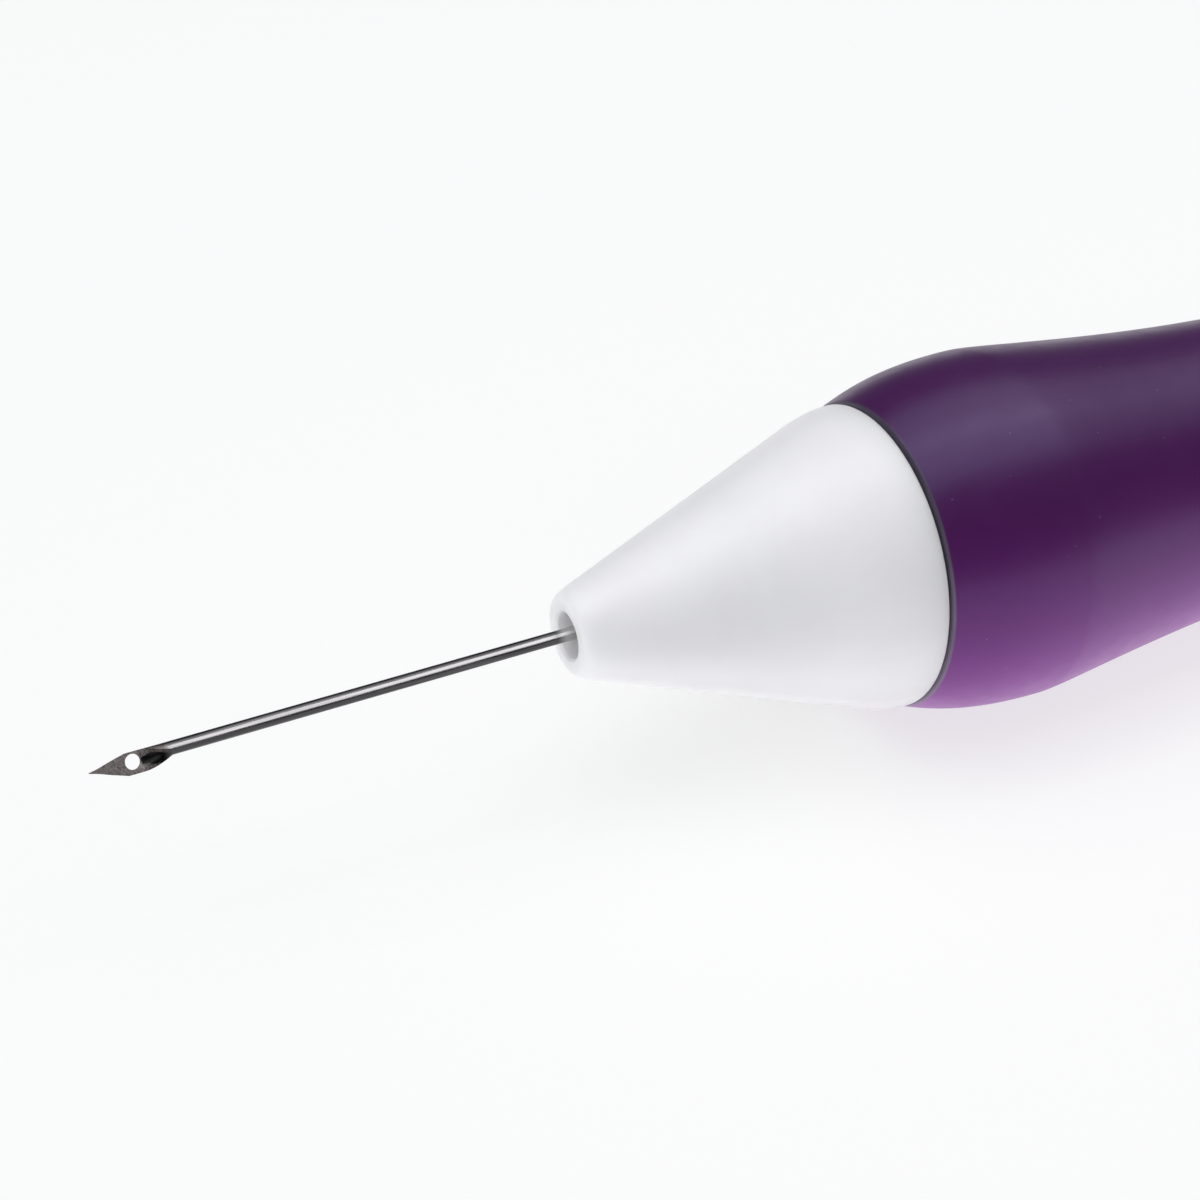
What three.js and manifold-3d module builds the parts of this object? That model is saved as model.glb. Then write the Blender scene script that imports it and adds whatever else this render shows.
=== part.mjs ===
// Adjustable punch needle, in millimetres.
// The tool lies level: +X runs from the needle's point to the tail, +Z is up.
// The origin is under the middle of the tool, on the surface that it lies on.
// Places along the tool are distances behind the flat face of the nose.

import * as THREE from 'three';
import { mergeVertices } from 'three/addons/utils/BufferGeometryUtils.js';
import Module from 'manifold-3d';

const wasm = await Module();
wasm.setup();

// Needle
const needleDiameter = 0.91;
const needleBoreDiameter = 0.6;
const needleReach = 33;
const headLength = 5.5;
const headWidth = 1.58;
const shoulderLength = 3.4;
const pointLength = 2.4;
const pointWidth = 0.04;
const pointHeight = -0.17;
const bladeThickness = 0.17;
const eyeSetback = 2.88;
const eyeLength = 0.96;
const eyeWidth = 1.22;
const groundFlatSetback = 1.9;
const openingAngle = 62;

// Needle hub and carriage
const hubDiameter = 3.0;
const hubLength = 12;
const hubSetback = 12;
const hubGrip = 8;
const needleSeatLength = 9;
const needleSeatClearance = 0.045;
const hubClearance = 0.15;
const carriageDiameter = 6.4;
const carriageLength = 38;
const yarnBoreDiameter = 2.4;
const pinDiameter = 1.6;
const pinSetback = 26;
const pinSeatDepth = 1.1;
const pinSeatClearance = 0.1;

// Setting the reach: one click of the dial for each of its settings
const settings = 12;
const clickTravel = 2.2;
const clickAngle = 360 / settings;

// Nose cone
const noseBoreDiameter = 3.25;
const noseFaceDiameter = 5.3;
const noseEdgeRound = 0.42;
const noseLineRadius = 2.9;
const coneLength = 23.1;
const coneEndRadius = 10.65;
const seamRadius = 10.78;
const bandLength = 1.7;
const noseLip = 0.15;
const noseBoreLength = 3.5;
const noseCavityRadius = 5.7;
const noseCavityStart = 13;
const spigotLength = 8;

// Handle
const gripFrontRadius = 10.86;
const gripFrontSlope = 0.38;
const humpRadius = 12.55;
const humpSetback = 9.7;
const humpRise = 4.5;
const humpFall = 2.2;
const waistRadius = 10.25;
const waistSetback = 37.3;
const waistFall = 13.2;
const waistRise = 14;
const gripEndRadius = 11.35;
const gripEndRise = 12;
const gripLength = 69.3;
const gripEdgeRound = 0.35;
const coreRadius = 9.0;
const collarLength = 7.4;
const ledgeStep = 0.4;

// Guide barrel and cam sleeve
const barrelWall = 1.3;
const barrelLength = 50.3;
const flangeThickness = 2;
const sleeveWall = 1.8;
const shoulderInset = 3.6;
const neckSeatLength = 6.1;
const neckRadius = 6.0;
const washerThickness = 0.8;
const keyWidth = 1.6;
const keyHeight = 0.7;

// Rings and detent
const hubRingWire = 0.9;
const noseRingWire = 0.9;
const sleeveRingWire = 1.0;
const ringSetback = 3;
const sleeveRingInset = 7;
const retainerThickness = 1.1;
const retainerWall = 1.2;
const retainerGap = 50;
const ballDiameter = 1.8;
const ballProud = 0.2;
const springWire = 0.28;
const springTurns = 5;
const detentHoleDepth = 5;
const dimpleDepth = 0.4;

// Dial and end cap
const dialLength = 18;
const dialProud = 0.15;
const numberBandLength = 5.5;
const numberBandStep = 0.5;
const fluteRadius = 5;
const fluteDepth = 0.9;
const dialEdgeRound = 1.1;
const dialBoreRadius = 5.2;
const capRecessRadius = 8;
const capRecessDepth = 4;
const capFlangeRadius = 9.6;
const capFlangeThickness = 2.2;
const capEdgeRound = 1.2;
const funnelMouthRadius = 2.5;
const funnelDepth = 3;
const yarnTubeDiameter = 1.8;
const yarnTubeBore = 1.2;
const yarnTubeOverlap = 4;
const yarnTubeSeat = 2.5;
const yarnTubeClearance = 0.15;

// Clearances
const gap = 0.3;

// Roundness: sides of the turned pieces
const handleSides = 48;
const innerSides = 28;
const ringSides = 24;
const smallSides = 16;

const degrees = Math.PI / 180;

// Places along the tool
const seam = coneLength;
const gripFront = seam + gap;
const gripRear = gripFront + gripLength;
const collarFront = gripRear + gap;
const coreRear = collarFront + collarLength;
const spigotRear = seam + spigotLength;
const flangeFront = spigotRear + gap;
const flangeRear = flangeFront + flangeThickness;
const ledge = flangeRear;
const washerFront = flangeRear + gap;
const sleeveFront = washerFront + washerThickness + gap;
const neckFront = coreRear - shoulderInset;
const hubFront = hubSetback;
const hubRear = hubFront + hubLength;
const carriageFront = hubRear - hubGrip;
const carriageRear = carriageFront + carriageLength;
const pinPlace = carriageFront + pinSetback;
const travel = clickTravel * (settings - 1);
const turn = clickAngle * (settings - 1) * degrees;
const barrelRear = flangeFront + barrelLength;
const dialFront = coreRear + gap;
const sleeveRear = dialFront + neckSeatLength;
const numberBandRear = dialFront + numberBandLength;
const dialRear = dialFront + dialLength;
const capRecessFront = dialRear - capRecessDepth;
const capFront = capRecessFront + gap;
const capFlangeFront = dialRear + gap;
const tail = capFlangeFront + capFlangeThickness;

// Radii that follow from the pieces inside one another
const carriageRadius = carriageDiameter / 2;
const hubRadius = hubDiameter / 2;
const hubSocketRadius = hubRadius + hubClearance;
const yarnBoreRadius = yarnBoreDiameter / 2;
const barrelBore = carriageRadius + gap;
const barrelRadius = barrelBore + barrelWall;
const sleeveBore = barrelRadius + gap;
const sleeveRadius = sleeveBore + sleeveWall;
const coreBore = sleeveRadius + gap;
const socketRadius = coreBore + ledgeStep;
const spigotRadius = socketRadius - gap;
const flangeRadius = (coreBore + socketRadius) / 2;
const slotWidth = pinDiameter + 2 * gap;
const pinTip = sleeveRadius - gap;
const detentRadius = (coreBore + gripEndRadius) / 2;
const axisHeight = humpRadius * Math.cos(Math.PI / handleSides);
const dialRadius = humpRadius + dialProud;
const numberBandRadius = dialRadius - numberBandStep;

// Materials
function material(name, color, roughness, metalness) {
  const finish = new THREE.MeshStandardMaterial({ color, roughness, metalness });
  finish.name = name;
  return finish;
}

const needleSteel = material('needle_steel', 0x8d8c8e, 0.22, 1);
const springSteel = material('spring_steel', 0x9a9a9c, 0.3, 1);
const brass = material('brass', 0xb89a55, 0.35, 1);
const whitePlastic = material('white_plastic', 0xf1f1f4, 0.4, 0);
const purpleRubber = material('purple_rubber', 0x4a1a63, 0.5, 0);
const naturalPlastic = material('natural_plastic', 0xd9d7cf, 0.5, 0);
const greyPlastic = material('grey_plastic', 0x8f9196, 0.5, 0);
const blackRubber = material('black_rubber', 0x1b1b1d, 0.6, 0);

// Solids from geometry, and back
function signedVolume(positions, triangles) {
  let sum = 0;
  for (let i = 0; i < triangles.length; i += 3) {
    const [a, b, c] = [0, 1, 2].map((k) => new THREE.Vector3().fromArray(positions, triangles[i + k] * 3));
    sum += a.dot(b.cross(c)) / 6;
  }
  return sum;
}

function solidOf(geometry) {
  const bare = geometry.clone();
  bare.deleteAttribute('normal');
  bare.deleteAttribute('uv');
  const merged = mergeVertices(bare, 1e-5);
  const positions = Float32Array.from(merged.attributes.position.array);
  const kept = [];
  for (let i = 0; i < merged.index.count; i += 3) {
    const corners = [0, 1, 2].map((k) => merged.index.array[i + k]);
    if (new Set(corners).size === 3) kept.push(corners);
  }
  const inward = signedVolume(positions, kept.flat()) < 0;
  const triVerts = Uint32Array.from(kept.flatMap(([a, b, c]) => (inward ? [a, c, b] : [a, b, c])));
  return new wasm.Manifold(new wasm.Mesh({ numProp: 3, vertProperties: positions, triVerts }));
}

function geometryOf(solid) {
  const { vertProperties, triVerts } = solid.getMesh();
  const geometry = new THREE.BufferGeometry();
  geometry.setAttribute('position', new THREE.BufferAttribute(Float32Array.from(vertProperties), 3));
  geometry.setIndex(new THREE.BufferAttribute(Uint32Array.from(triVerts), 1));
  geometry.computeVertexNormals();
  return geometry;
}

function piece(name, solid, finish) {
  const mesh = new THREE.Mesh(geometryOf(solid), finish);
  mesh.name = name;
  return mesh;
}

// An outline is a path of (place, radius) points. It closes on itself or starts and ends on the axis.
// The half step turns a flat side to the bottom, so that the tool lies still.
function revolved(path, sides, curveSteps = 6) {
  const points = path.getPoints(curveSteps).map(({ x, y }) => new THREE.Vector2(Math.max(y, 0), x));
  const lathe = new THREE.LatheGeometry(points, sides, Math.PI / sides, 2 * Math.PI);
  lathe.rotateZ(-Math.PI / 2);
  return solidOf(lathe);
}

// A polygon's flats lie nearer the axis than its corners, so a bore is opened to clear a round inside it.
function boreFor(radius, sides) {
  return radius / Math.cos(Math.PI / sides);
}

function outline(points) {
  const path = new THREE.Path();
  path.moveTo(...points[0]);
  points.slice(1).forEach((point) => path.lineTo(...point));
  path.closePath();
  return path;
}

function tubeSolid(from, to, bore, radius, sides) {
  return revolved(outline([[from, bore], [to, bore], [to, radius], [from, radius]]), sides);
}

function rodSolid(from, to, radius, sides) {
  return revolved(outline([[from, 0], [from, radius], [to, radius], [to, 0]]), sides);
}

function ringSolid(place, ringRadius, wire) {
  const ring = new THREE.TorusGeometry(ringRadius, wire / 2, 8, ringSides);
  ring.rotateY(Math.PI / 2);
  ring.translate(place, 0, 0);
  return solidOf(ring);
}

// A box across the axis: its middle's place, its size along X, Y and Z, and its middle's radius along +Z
function boxSolid(place, size, radius) {
  const box = new THREE.BoxGeometry(...size);
  box.translate(place, 0, radius);
  return solidOf(box);
}

// Joins rings of points into a closed skin. Each ring has the same count of points.
function loftedSolid(rings) {
  const count = rings[0].length;
  const positions = rings.flat().flatMap((point) => point.toArray());
  const index = [];
  for (let ring = 0; ring < rings.length - 1; ring += 1) {
    for (let i = 0; i < count; i += 1) {
      const a = ring * count + i;
      const b = ring * count + ((i + 1) % count);
      index.push(a, b, b + count, a, b + count, a + count);
    }
  }
  const capRing = (start, order) => {
    for (let i = 0; i < count / 2 - 1; i += 1) {
      const [a, b] = [start + i, start + i + 1];
      const [c, d] = [start + count - 1 - i, start + count - 2 - i];
      index.push(...order([a, d, b]), ...order([a, c, d]));
    }
  };
  capRing(0, (face) => face);
  capRing((rings.length - 1) * count, ([a, b, c]) => [a, c, b]);
  const geometry = new THREE.BufferGeometry();
  geometry.setAttribute('position', new THREE.Float32BufferAttribute(positions, 3));
  geometry.setIndex(index);
  return solidOf(geometry);
}

// Needle head: the tube is pressed wide and flat, ground open on top, and narrows to a point.
// Its sections are ellipses that stay level with the tube's underside, away from the opening.
const pointPlace = -needleReach;
const needleRadius = needleDiameter / 2;
const openUp = new THREE.Vector3(0, -Math.cos(openingAngle * degrees), Math.sin(openingAngle * degrees));
const openSide = new THREE.Vector3(0, openUp.z, -openUp.y);
const alongTool = new THREE.Vector3(1, 0, 0);
const headFrame = new THREE.Matrix4().makeBasis(alongTool, openSide.clone().negate(), openUp);

// Smooth step from 0 to 1
function eased(share) {
  const t = THREE.MathUtils.clamp(share, 0, 1);
  return t * t * (3 - 2 * t);
}

// Half width, half depth and underside of the head at a distance behind the point
function headSection(setback) {
  const pressed = THREE.MathUtils.clamp((headLength - setback) / (headLength - shoulderLength), 0, 1);
  const flattened = eased((headLength - setback) / (headLength - eyeSetback));
  const narrowed = THREE.MathUtils.clamp(setback / pointLength, 0, 1);
  const fullWidth = THREE.MathUtils.lerp(needleRadius, headWidth / 2, Math.sin(pressed * Math.PI / 2));
  const fullDepth = THREE.MathUtils.lerp(needleRadius, bladeThickness, flattened);
  return {
    halfWidth: THREE.MathUtils.lerp(pointWidth / 2, fullWidth, narrowed),
    halfDepth: THREE.MathUtils.lerp(pointWidth / 2, fullDepth, Math.sqrt(narrowed)),
    underside: THREE.MathUtils.lerp(pointHeight, -needleRadius, eased(narrowed)),
  };
}

function headRing(setback, sides) {
  const { halfWidth, halfDepth, underside } = headSection(setback);
  return Array.from({ length: sides }, (_, i) => {
    const angle = (2 * Math.PI * (i + 0.5)) / sides;
    return new THREE.Vector3(pointPlace + setback, 0, 0)
      .addScaledVector(openSide, halfWidth * Math.cos(angle))
      .addScaledVector(openUp, underside + halfDepth + halfDepth * Math.sin(angle));
  });
}

// What the grinding takes off: from the heel on the tube's top down to the blade, and on past the point
function groundAway() {
  const deep = 3 * needleRadius;
  const bladeTop = bladeThickness - needleRadius;
  const profile = new THREE.Shape();
  profile.moveTo(headLength, needleRadius);
  profile.quadraticCurveTo(eyeSetback + eyeLength, bladeTop + bladeThickness, eyeSetback, bladeTop);
  profile.lineTo(groundFlatSetback, bladeTop);
  profile.lineTo(0, pointHeight + pointWidth);
  profile.lineTo(-pointLength, pointHeight + pointWidth);
  profile.lineTo(-pointLength, deep);
  profile.lineTo(headLength, deep);
  profile.closePath();
  const extrusion = { depth: 2 * headWidth, bevelEnabled: false, curveSegments: 5 };
  const block = new THREE.ExtrudeGeometry(profile, extrusion);
  block.translate(pointPlace, 0, -headWidth);
  block.rotateX(Math.PI / 2);
  return solidOf(block.applyMatrix4(headFrame));
}

function needleEye() {
  const eye = new THREE.CylinderGeometry(eyeLength / 2, eyeLength / 2, 4 * needleRadius, smallSides);
  eye.scale(1, 1, eyeWidth / eyeLength);
  eye.rotateX(Math.PI / 2);
  eye.rotateZ(Math.PI);
  eye.translate(pointPlace + eyeSetback, 0, 0);
  return solidOf(eye.applyMatrix4(headFrame));
}

function needleTube() {
  const sections = 16;
  const setbacks = Array.from({ length: sections + 1 }, (_, i) => headLength * i / sections);
  const head = loftedSolid(setbacks.map((setback) => headRing(setback, smallSides)));
  const needleRear = hubFront + needleSeatLength;
  const tube = rodSolid(pointPlace + headLength - bladeThickness, needleRear, needleRadius, smallSides);
  const boreFront = pointPlace + eyeSetback;
  const bore = rodSolid(boreFront, needleRear + gap, needleBoreDiameter / 2, smallSides);
  return head.add(tube).subtract(bore).subtract(groundAway()).subtract(needleEye());
}

// A slim ferrule, bored for the needle in front and flared for the yarn behind
function needleHub() {
  const seatRadius = boreFor(needleDiameter / 2 + needleSeatClearance, smallSides);
  const needleRear = hubFront + needleSeatLength;
  const chamfer = 0.3;
  return revolved(outline([
    [hubFront, seatRadius],
    [needleRear + gap, seatRadius],
    [hubRear, hubRadius - chamfer],
    [hubRear, hubRadius],
    [hubFront + chamfer, hubRadius],
    [hubFront, hubRadius - chamfer],
  ]), smallSides);
}

// The O-ring stands in a groove of the hub's socket
const hubRingPlace = carriageFront + ringSetback;
const hubRingRadius = hubRadius + hubRingWire / 2 + hubClearance / 2;

function carriageTube() {
  const socket = boreFor(hubSocketRadius, smallSides);
  const grooveHalf = hubRingWire / 2 + hubClearance;
  const grooveRadius = hubRingRadius + hubRingWire / 2 + hubClearance;
  const chamfer = 0.5;
  const body = revolved(outline([
    [carriageFront, socket],
    [hubRingPlace - grooveHalf, socket],
    [hubRingPlace - grooveHalf, grooveRadius],
    [hubRingPlace + grooveHalf, grooveRadius],
    [hubRingPlace + grooveHalf, socket],
    [hubRear + hubClearance, socket],
    [hubRear + hubClearance, yarnBoreRadius],
    [carriageRear, yarnBoreRadius],
    [carriageRear, carriageRadius],
    [carriageFront + chamfer, carriageRadius],
    [carriageFront, carriageRadius - chamfer],
  ]), innerSides);
  const seatRadius = pinDiameter / 2 + pinSeatClearance;
  const pinSeats = [1, -1].map((side) => {
    const seatEnd = carriageRadius - pinSeatDepth - pinSeatClearance;
    return pinSolid(side, seatEnd, carriageRadius + gap, seatRadius);
  });
  return pinSeats.reduce((solid, seat) => solid.subtract(seat), body);
}

// A round pin that stands out sideways, to the left (+Y) for side 1 or the right for side -1
function pinSolid(side, from, to, radius) {
  const pin = new THREE.CylinderGeometry(radius, radius, to - from, smallSides);
  pin.translate(pinPlace, side * (from + to) / 2, 0);
  return solidOf(pin);
}

function followerPin(side) {
  return pinSolid(side, carriageRadius - pinSeatDepth, pinTip, pinDiameter / 2);
}

// The fixed barrel keeps the carriage from turning: its pins run in two straight slots
function guideBarrel() {
  const bore = boreFor(barrelBore, innerSides);
  const body = revolved(outline([
    [flangeFront, bore],
    [barrelRear, bore],
    [barrelRear, barrelRadius],
    [flangeRear, barrelRadius],
    [flangeRear, flangeRadius],
    [flangeFront, flangeRadius],
  ]), innerSides);
  const slotLength = travel + slotWidth;
  const slotPlace = pinPlace + travel / 2;
  const slot = new THREE.BoxGeometry(slotLength, 2 * (barrelRadius + gap), slotWidth);
  slot.translate(slotPlace, 0, 0);
  return body.subtract(solidOf(slot));
}

// One helical slot of the sleeve, as a solid to cut with. Turning the sleeve draws the pin along it.
function helicalSlot(startAngle) {
  const steps = 2 * settings;
  const middle = (sleeveBore + sleeveRadius) / 2;
  const sideTurn = slotWidth / 2 / middle;
  const sideReach = slotWidth / 2 * Math.hypot(1, travel / (turn * middle));
  const rings = Array.from({ length: steps + 1 }, (_, i) => {
    const turned = THREE.MathUtils.lerp(-sideTurn, turn + sideTurn, i / steps);
    const place = pinPlace + travel * turned / turn;
    const angle = startAngle - turned;
    const corner = (radius, side) => new THREE.Vector3(
      place + side * sideReach,
      radius * Math.cos(angle),
      radius * Math.sin(angle),
    );
    const [inner, outer] = [sleeveBore - gap, sleeveRadius + gap];
    return [corner(inner, -1), corner(inner, 1), corner(outer, 1), corner(outer, -1)];
  });
  return loftedSolid(rings);
}

const sleeveRingPlace = neckFront - sleeveRingInset;
const sleeveRingRadius = coreBore - gap / 2 - sleeveRingWire / 2;

function camSleeve() {
  const bore = boreFor(sleeveBore, innerSides);
  const grooveHalf = sleeveRingWire / 2 + gap / 2;
  const grooveRadius = sleeveRingRadius - sleeveRingWire / 2 - gap / 2;
  const body = revolved(outline([
    [sleeveFront, bore],
    [sleeveRear, bore],
    [sleeveRear, neckRadius],
    [neckFront, neckRadius],
    [neckFront, sleeveRadius],
    [sleeveRingPlace + grooveHalf, sleeveRadius],
    [sleeveRingPlace + grooveHalf, grooveRadius],
    [sleeveRingPlace - grooveHalf, grooveRadius],
    [sleeveRingPlace - grooveHalf, sleeveRadius],
    [sleeveFront, sleeveRadius],
  ]), innerSides);
  const keyLength = sleeveRear - dialFront - gap;
  const keyRoot = neckRadius - keyHeight;
  const keySize = [keyLength, keyWidth, 2 * keyHeight];
  const key = boxSolid(sleeveRear - keyLength / 2, keySize, keyRoot + keyHeight);
  return body.subtract(helicalSlot(0)).subtract(helicalSlot(Math.PI)).add(key);
}

function thrustWasher() {
  const bore = boreFor(sleeveBore, innerSides);
  return tubeSolid(washerFront, washerFront + washerThickness, bore, sleeveRadius, innerSides);
}

// Nose cone: a straight cone with a short band at the seam. It is hollow, and its spigot goes into the core.
const noseRingPlace = seam + spigotLength / 2;
const noseRingRadius = socketRadius - gap / 2 - noseRingWire / 2;

function noseCone() {
  const shoulder = coneLength - bandLength;
  const slope = (coneEndRadius - noseLineRadius) / shoulder;
  const edge = noseEdgeRound * 2;
  const round = bandLength / 2;
  const boreRadius = noseBoreDiameter / 2;
  const grooveHalf = noseRingWire / 2 + gap / 2;
  const grooveRadius = noseRingRadius - noseRingWire / 2 - gap / 2;
  const path = new THREE.Path();
  path.moveTo(0, boreRadius + noseLip);
  path.lineTo(0, noseFaceDiameter / 2);
  path.quadraticCurveTo(0, noseLineRadius, edge, noseLineRadius + slope * edge);
  path.lineTo(shoulder - round, coneEndRadius - slope * round);
  path.quadraticCurveTo(shoulder + round / 2, coneEndRadius + slope * round / 4, seam - gap, seamRadius);
  path.lineTo(seam, seamRadius - gap);
  path.lineTo(seam, spigotRadius);
  path.lineTo(noseRingPlace - grooveHalf, spigotRadius);
  path.lineTo(noseRingPlace - grooveHalf, grooveRadius);
  path.lineTo(noseRingPlace + grooveHalf, grooveRadius);
  path.lineTo(noseRingPlace + grooveHalf, spigotRadius);
  path.lineTo(spigotRear, spigotRadius);
  path.lineTo(spigotRear, noseCavityRadius);
  path.lineTo(noseCavityStart, noseCavityRadius);
  path.lineTo(noseBoreLength, boreRadius);
  path.lineTo(noseLip, boreRadius);
  path.closePath();
  return revolved(path, handleSides, 3);
}

// Retaining ring: an open ring in a groove of the core, behind the sleeve's shoulder
const retainerPlace = neckFront + gap;
const retainerInner = neckRadius + gap;
const retainerOuter = retainerInner + retainerWall;

function retainingRing() {
  const retainerRear = retainerPlace + retainerThickness;
  const ring = tubeSolid(retainerPlace, retainerRear, retainerInner, retainerOuter, innerSides);
  const half = retainerOuter * Math.tan(retainerGap / 2 * degrees);
  const wedge = new THREE.Shape();
  wedge.moveTo(0, 0);
  wedge.lineTo(half, -2 * retainerOuter);
  wedge.lineTo(-half, -2 * retainerOuter);
  wedge.closePath();
  const cut = new THREE.ExtrudeGeometry(wedge, { depth: retainerThickness + 2 * gap, bevelEnabled: false });
  cut.rotateX(Math.PI / 2);
  cut.rotateZ(-Math.PI / 2);
  return ring.subtract(solidOf(cut));
}

// Rigid core: socket for the nose in front, plain bore for the sleeve, and a collar at the tail
function coreBarrel() {
  const grooveFront = retainerPlace - gap / 2;
  const grooveRear = retainerPlace + retainerThickness + gap / 2;
  const grooveRadius = retainerOuter + gap;
  const body = revolved(outline([
    [gripFront, socketRadius],
    [ledge, socketRadius],
    [ledge, coreBore],
    [grooveFront, coreBore],
    [grooveFront, grooveRadius],
    [grooveRear, grooveRadius],
    [grooveRear, coreBore],
    [coreRear, coreBore],
    [coreRear, gripEndRadius - gap],
    [coreRear - gap, gripEndRadius],
    [collarFront + gap, gripEndRadius],
    [collarFront, gripEndRadius - gap],
    [collarFront, coreRadius],
    [gripFront, coreRadius],
  ]), handleSides);
  const hole = rodSolid(coreRear - detentHoleDepth, coreRear + gap, ballDiameter / 2 + gap / 2, smallSides);
  return body.subtract(hole.translate([0, 0, detentRadius]));
}

// Soft grip: a hump behind the seam for the fingers, a waist, and a swell towards the tail
function softGrip() {
  const inner = coreRadius + gap;
  const frontEdge = gripFront + gripEdgeRound;
  const frontRadius = gripFrontRadius + gripEdgeRound * gripFrontSlope;
  const hump = gripFront + humpSetback;
  const waist = gripFront + waistSetback;
  const path = new THREE.Path();
  path.moveTo(gripFront, inner);
  path.lineTo(gripFront, gripFrontRadius - gripEdgeRound);
  path.quadraticCurveTo(gripFront, gripFrontRadius, frontEdge, frontRadius);
  const frontRise = humpSetback / 4;
  path.bezierCurveTo(
    frontEdge + frontRise, frontRadius + frontRise * gripFrontSlope,
    hump - humpRise, humpRadius,
    hump, humpRadius,
  );
  path.bezierCurveTo(hump + humpFall, humpRadius, waist - waistFall, waistRadius, waist, waistRadius);
  path.bezierCurveTo(
    waist + waistRise, waistRadius,
    gripRear - gripEndRise, gripEndRadius,
    gripRear - gripEdgeRound, gripEndRadius,
  );
  path.lineTo(gripRear, gripEndRadius - gripEdgeRound);
  path.lineTo(gripRear, inner);
  path.closePath();
  return revolved(path, handleSides, 5);
}

function detentBall() {
  const ball = new THREE.SphereGeometry(ballDiameter / 2, 12, 8);
  ball.translate(coreRear + ballProud - ballDiameter / 2, 0, detentRadius);
  return solidOf(ball);
}

// Coil spring behind the ball: a wire of six sides, wound at a steady pitch
function detentSpring() {
  const coilRadius = ballDiameter / 2 - springWire;
  const front = coreRear - detentHoleDepth + gap / 2 + springWire;
  const rear = coreRear + ballProud - ballDiameter - springWire / 2 - gap / 2;
  const stepsPerTurn = 8;
  const wireSides = 6;
  const steps = springTurns * stepsPerTurn;
  const rings = Array.from({ length: steps + 1 }, (_, i) => {
    const angle = (2 * Math.PI * i) / stepsPerTurn;
    const place = THREE.MathUtils.lerp(front, rear, i / steps);
    const outward = new THREE.Vector3(0, Math.cos(angle), Math.sin(angle));
    const centre = new THREE.Vector3(place, 0, detentRadius).addScaledVector(outward, coilRadius);
    return Array.from({ length: wireSides }, (__, k) => {
      const around = (2 * Math.PI * k) / wireSides;
      return centre.clone()
        .addScaledVector(outward, (springWire / 2) * Math.cos(around))
        .add(new THREE.Vector3((springWire / 2) * Math.sin(around), 0, 0));
    });
  });
  return loftedSolid(rings);
}

// Dial: a band for the numbers, flutes for the fingers, dimples for the ball, and a keyed socket for the neck
function depthDial() {
  const socket = boreFor(neckRadius + gap, handleSides);
  const socketEnd = sleeveRear + gap;
  const round = dialEdgeRound;
  const path = new THREE.Path();
  path.moveTo(dialFront, socket);
  path.lineTo(dialFront, gripEndRadius - gap);
  path.quadraticCurveTo(dialFront, numberBandRadius, dialFront + 2 * round, numberBandRadius);
  path.lineTo(numberBandRear, numberBandRadius);
  path.quadraticCurveTo(numberBandRear, dialRadius, numberBandRear + numberBandStep, dialRadius);
  path.lineTo(dialRear - 2 * round, dialRadius);
  path.quadraticCurveTo(dialRear, dialRadius, dialRear, dialRadius - 2 * round);
  path.lineTo(dialRear, capRecessRadius);
  path.lineTo(capRecessFront, capRecessRadius);
  path.lineTo(capRecessFront, dialBoreRadius);
  path.lineTo(socketEnd, dialBoreRadius);
  path.lineTo(socketEnd, socket);
  path.closePath();
  let dial = revolved(path, handleSides, 3);
  for (let i = 0; i < settings; i += 1) {
    const angle = i * clickAngle * degrees;
    dial = dial.subtract(flute(angle)).subtract(dimple(angle));
  }
  const keySlot = keyHeight + gap;
  return dial.subtract(boxSolid(
    (dialFront + socketEnd) / 2 - gap,
    [socketEnd - dialFront + 2 * gap, keyWidth + gap, 2 * keySlot],
    neckRadius,
  ));
}

// A flute starts with a round end that runs out at the number band.
function flute(angle) {
  const bottom = fluteRadius - fluteDepth;
  const front = numberBandRear + Math.sqrt(fluteRadius ** 2 - (bottom + numberBandStep) ** 2);
  const cutter = new THREE.CapsuleGeometry(fluteRadius, dialLength, 8, handleSides / 2);
  cutter.rotateZ(Math.PI / 2);
  cutter.translate(front + dialLength / 2, 0, -(dialRadius + bottom));
  cutter.rotateX(angle);
  return solidOf(cutter);
}

function dimple(angle) {
  const ball = new THREE.SphereGeometry(ballDiameter / 2, 8, 6);
  ball.translate(dialFront + dimpleDepth - ballDiameter / 2, 0, detentRadius);
  ball.rotateX(angle);
  return solidOf(ball);
}

// End cap: a plug in the dial's recess, with a flange and a funnel that leads the yarn into its tube
function endCap() {
  const plugRadius = capRecessRadius - gap;
  const seatRadius = yarnTubeDiameter / 2 + yarnTubeClearance;
  const boreRadius = yarnTubeBore / 2;
  const seatRear = capFront + yarnTubeSeat;
  const path = new THREE.Path();
  path.moveTo(capFront, seatRadius);
  path.lineTo(capFront, plugRadius);
  path.lineTo(capFlangeFront, plugRadius);
  path.lineTo(capFlangeFront, capFlangeRadius);
  path.quadraticCurveTo(tail, capFlangeRadius, tail, capFlangeRadius - 2 * capEdgeRound);
  path.lineTo(tail, funnelMouthRadius);
  path.quadraticCurveTo(tail - funnelDepth, boreRadius + yarnTubeClearance, tail - funnelDepth, boreRadius);
  path.lineTo(seatRear, boreRadius);
  path.lineTo(seatRear, seatRadius);
  path.closePath();
  return revolved(path, innerSides, 3);
}

function yarnGuideTube() {
  const front = carriageRear - yarnTubeOverlap;
  const rear = capFront + yarnTubeSeat - gap / 2;
  return tubeSolid(front, rear, yarnTubeBore / 2, yarnTubeDiameter / 2, smallSides);
}

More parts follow.
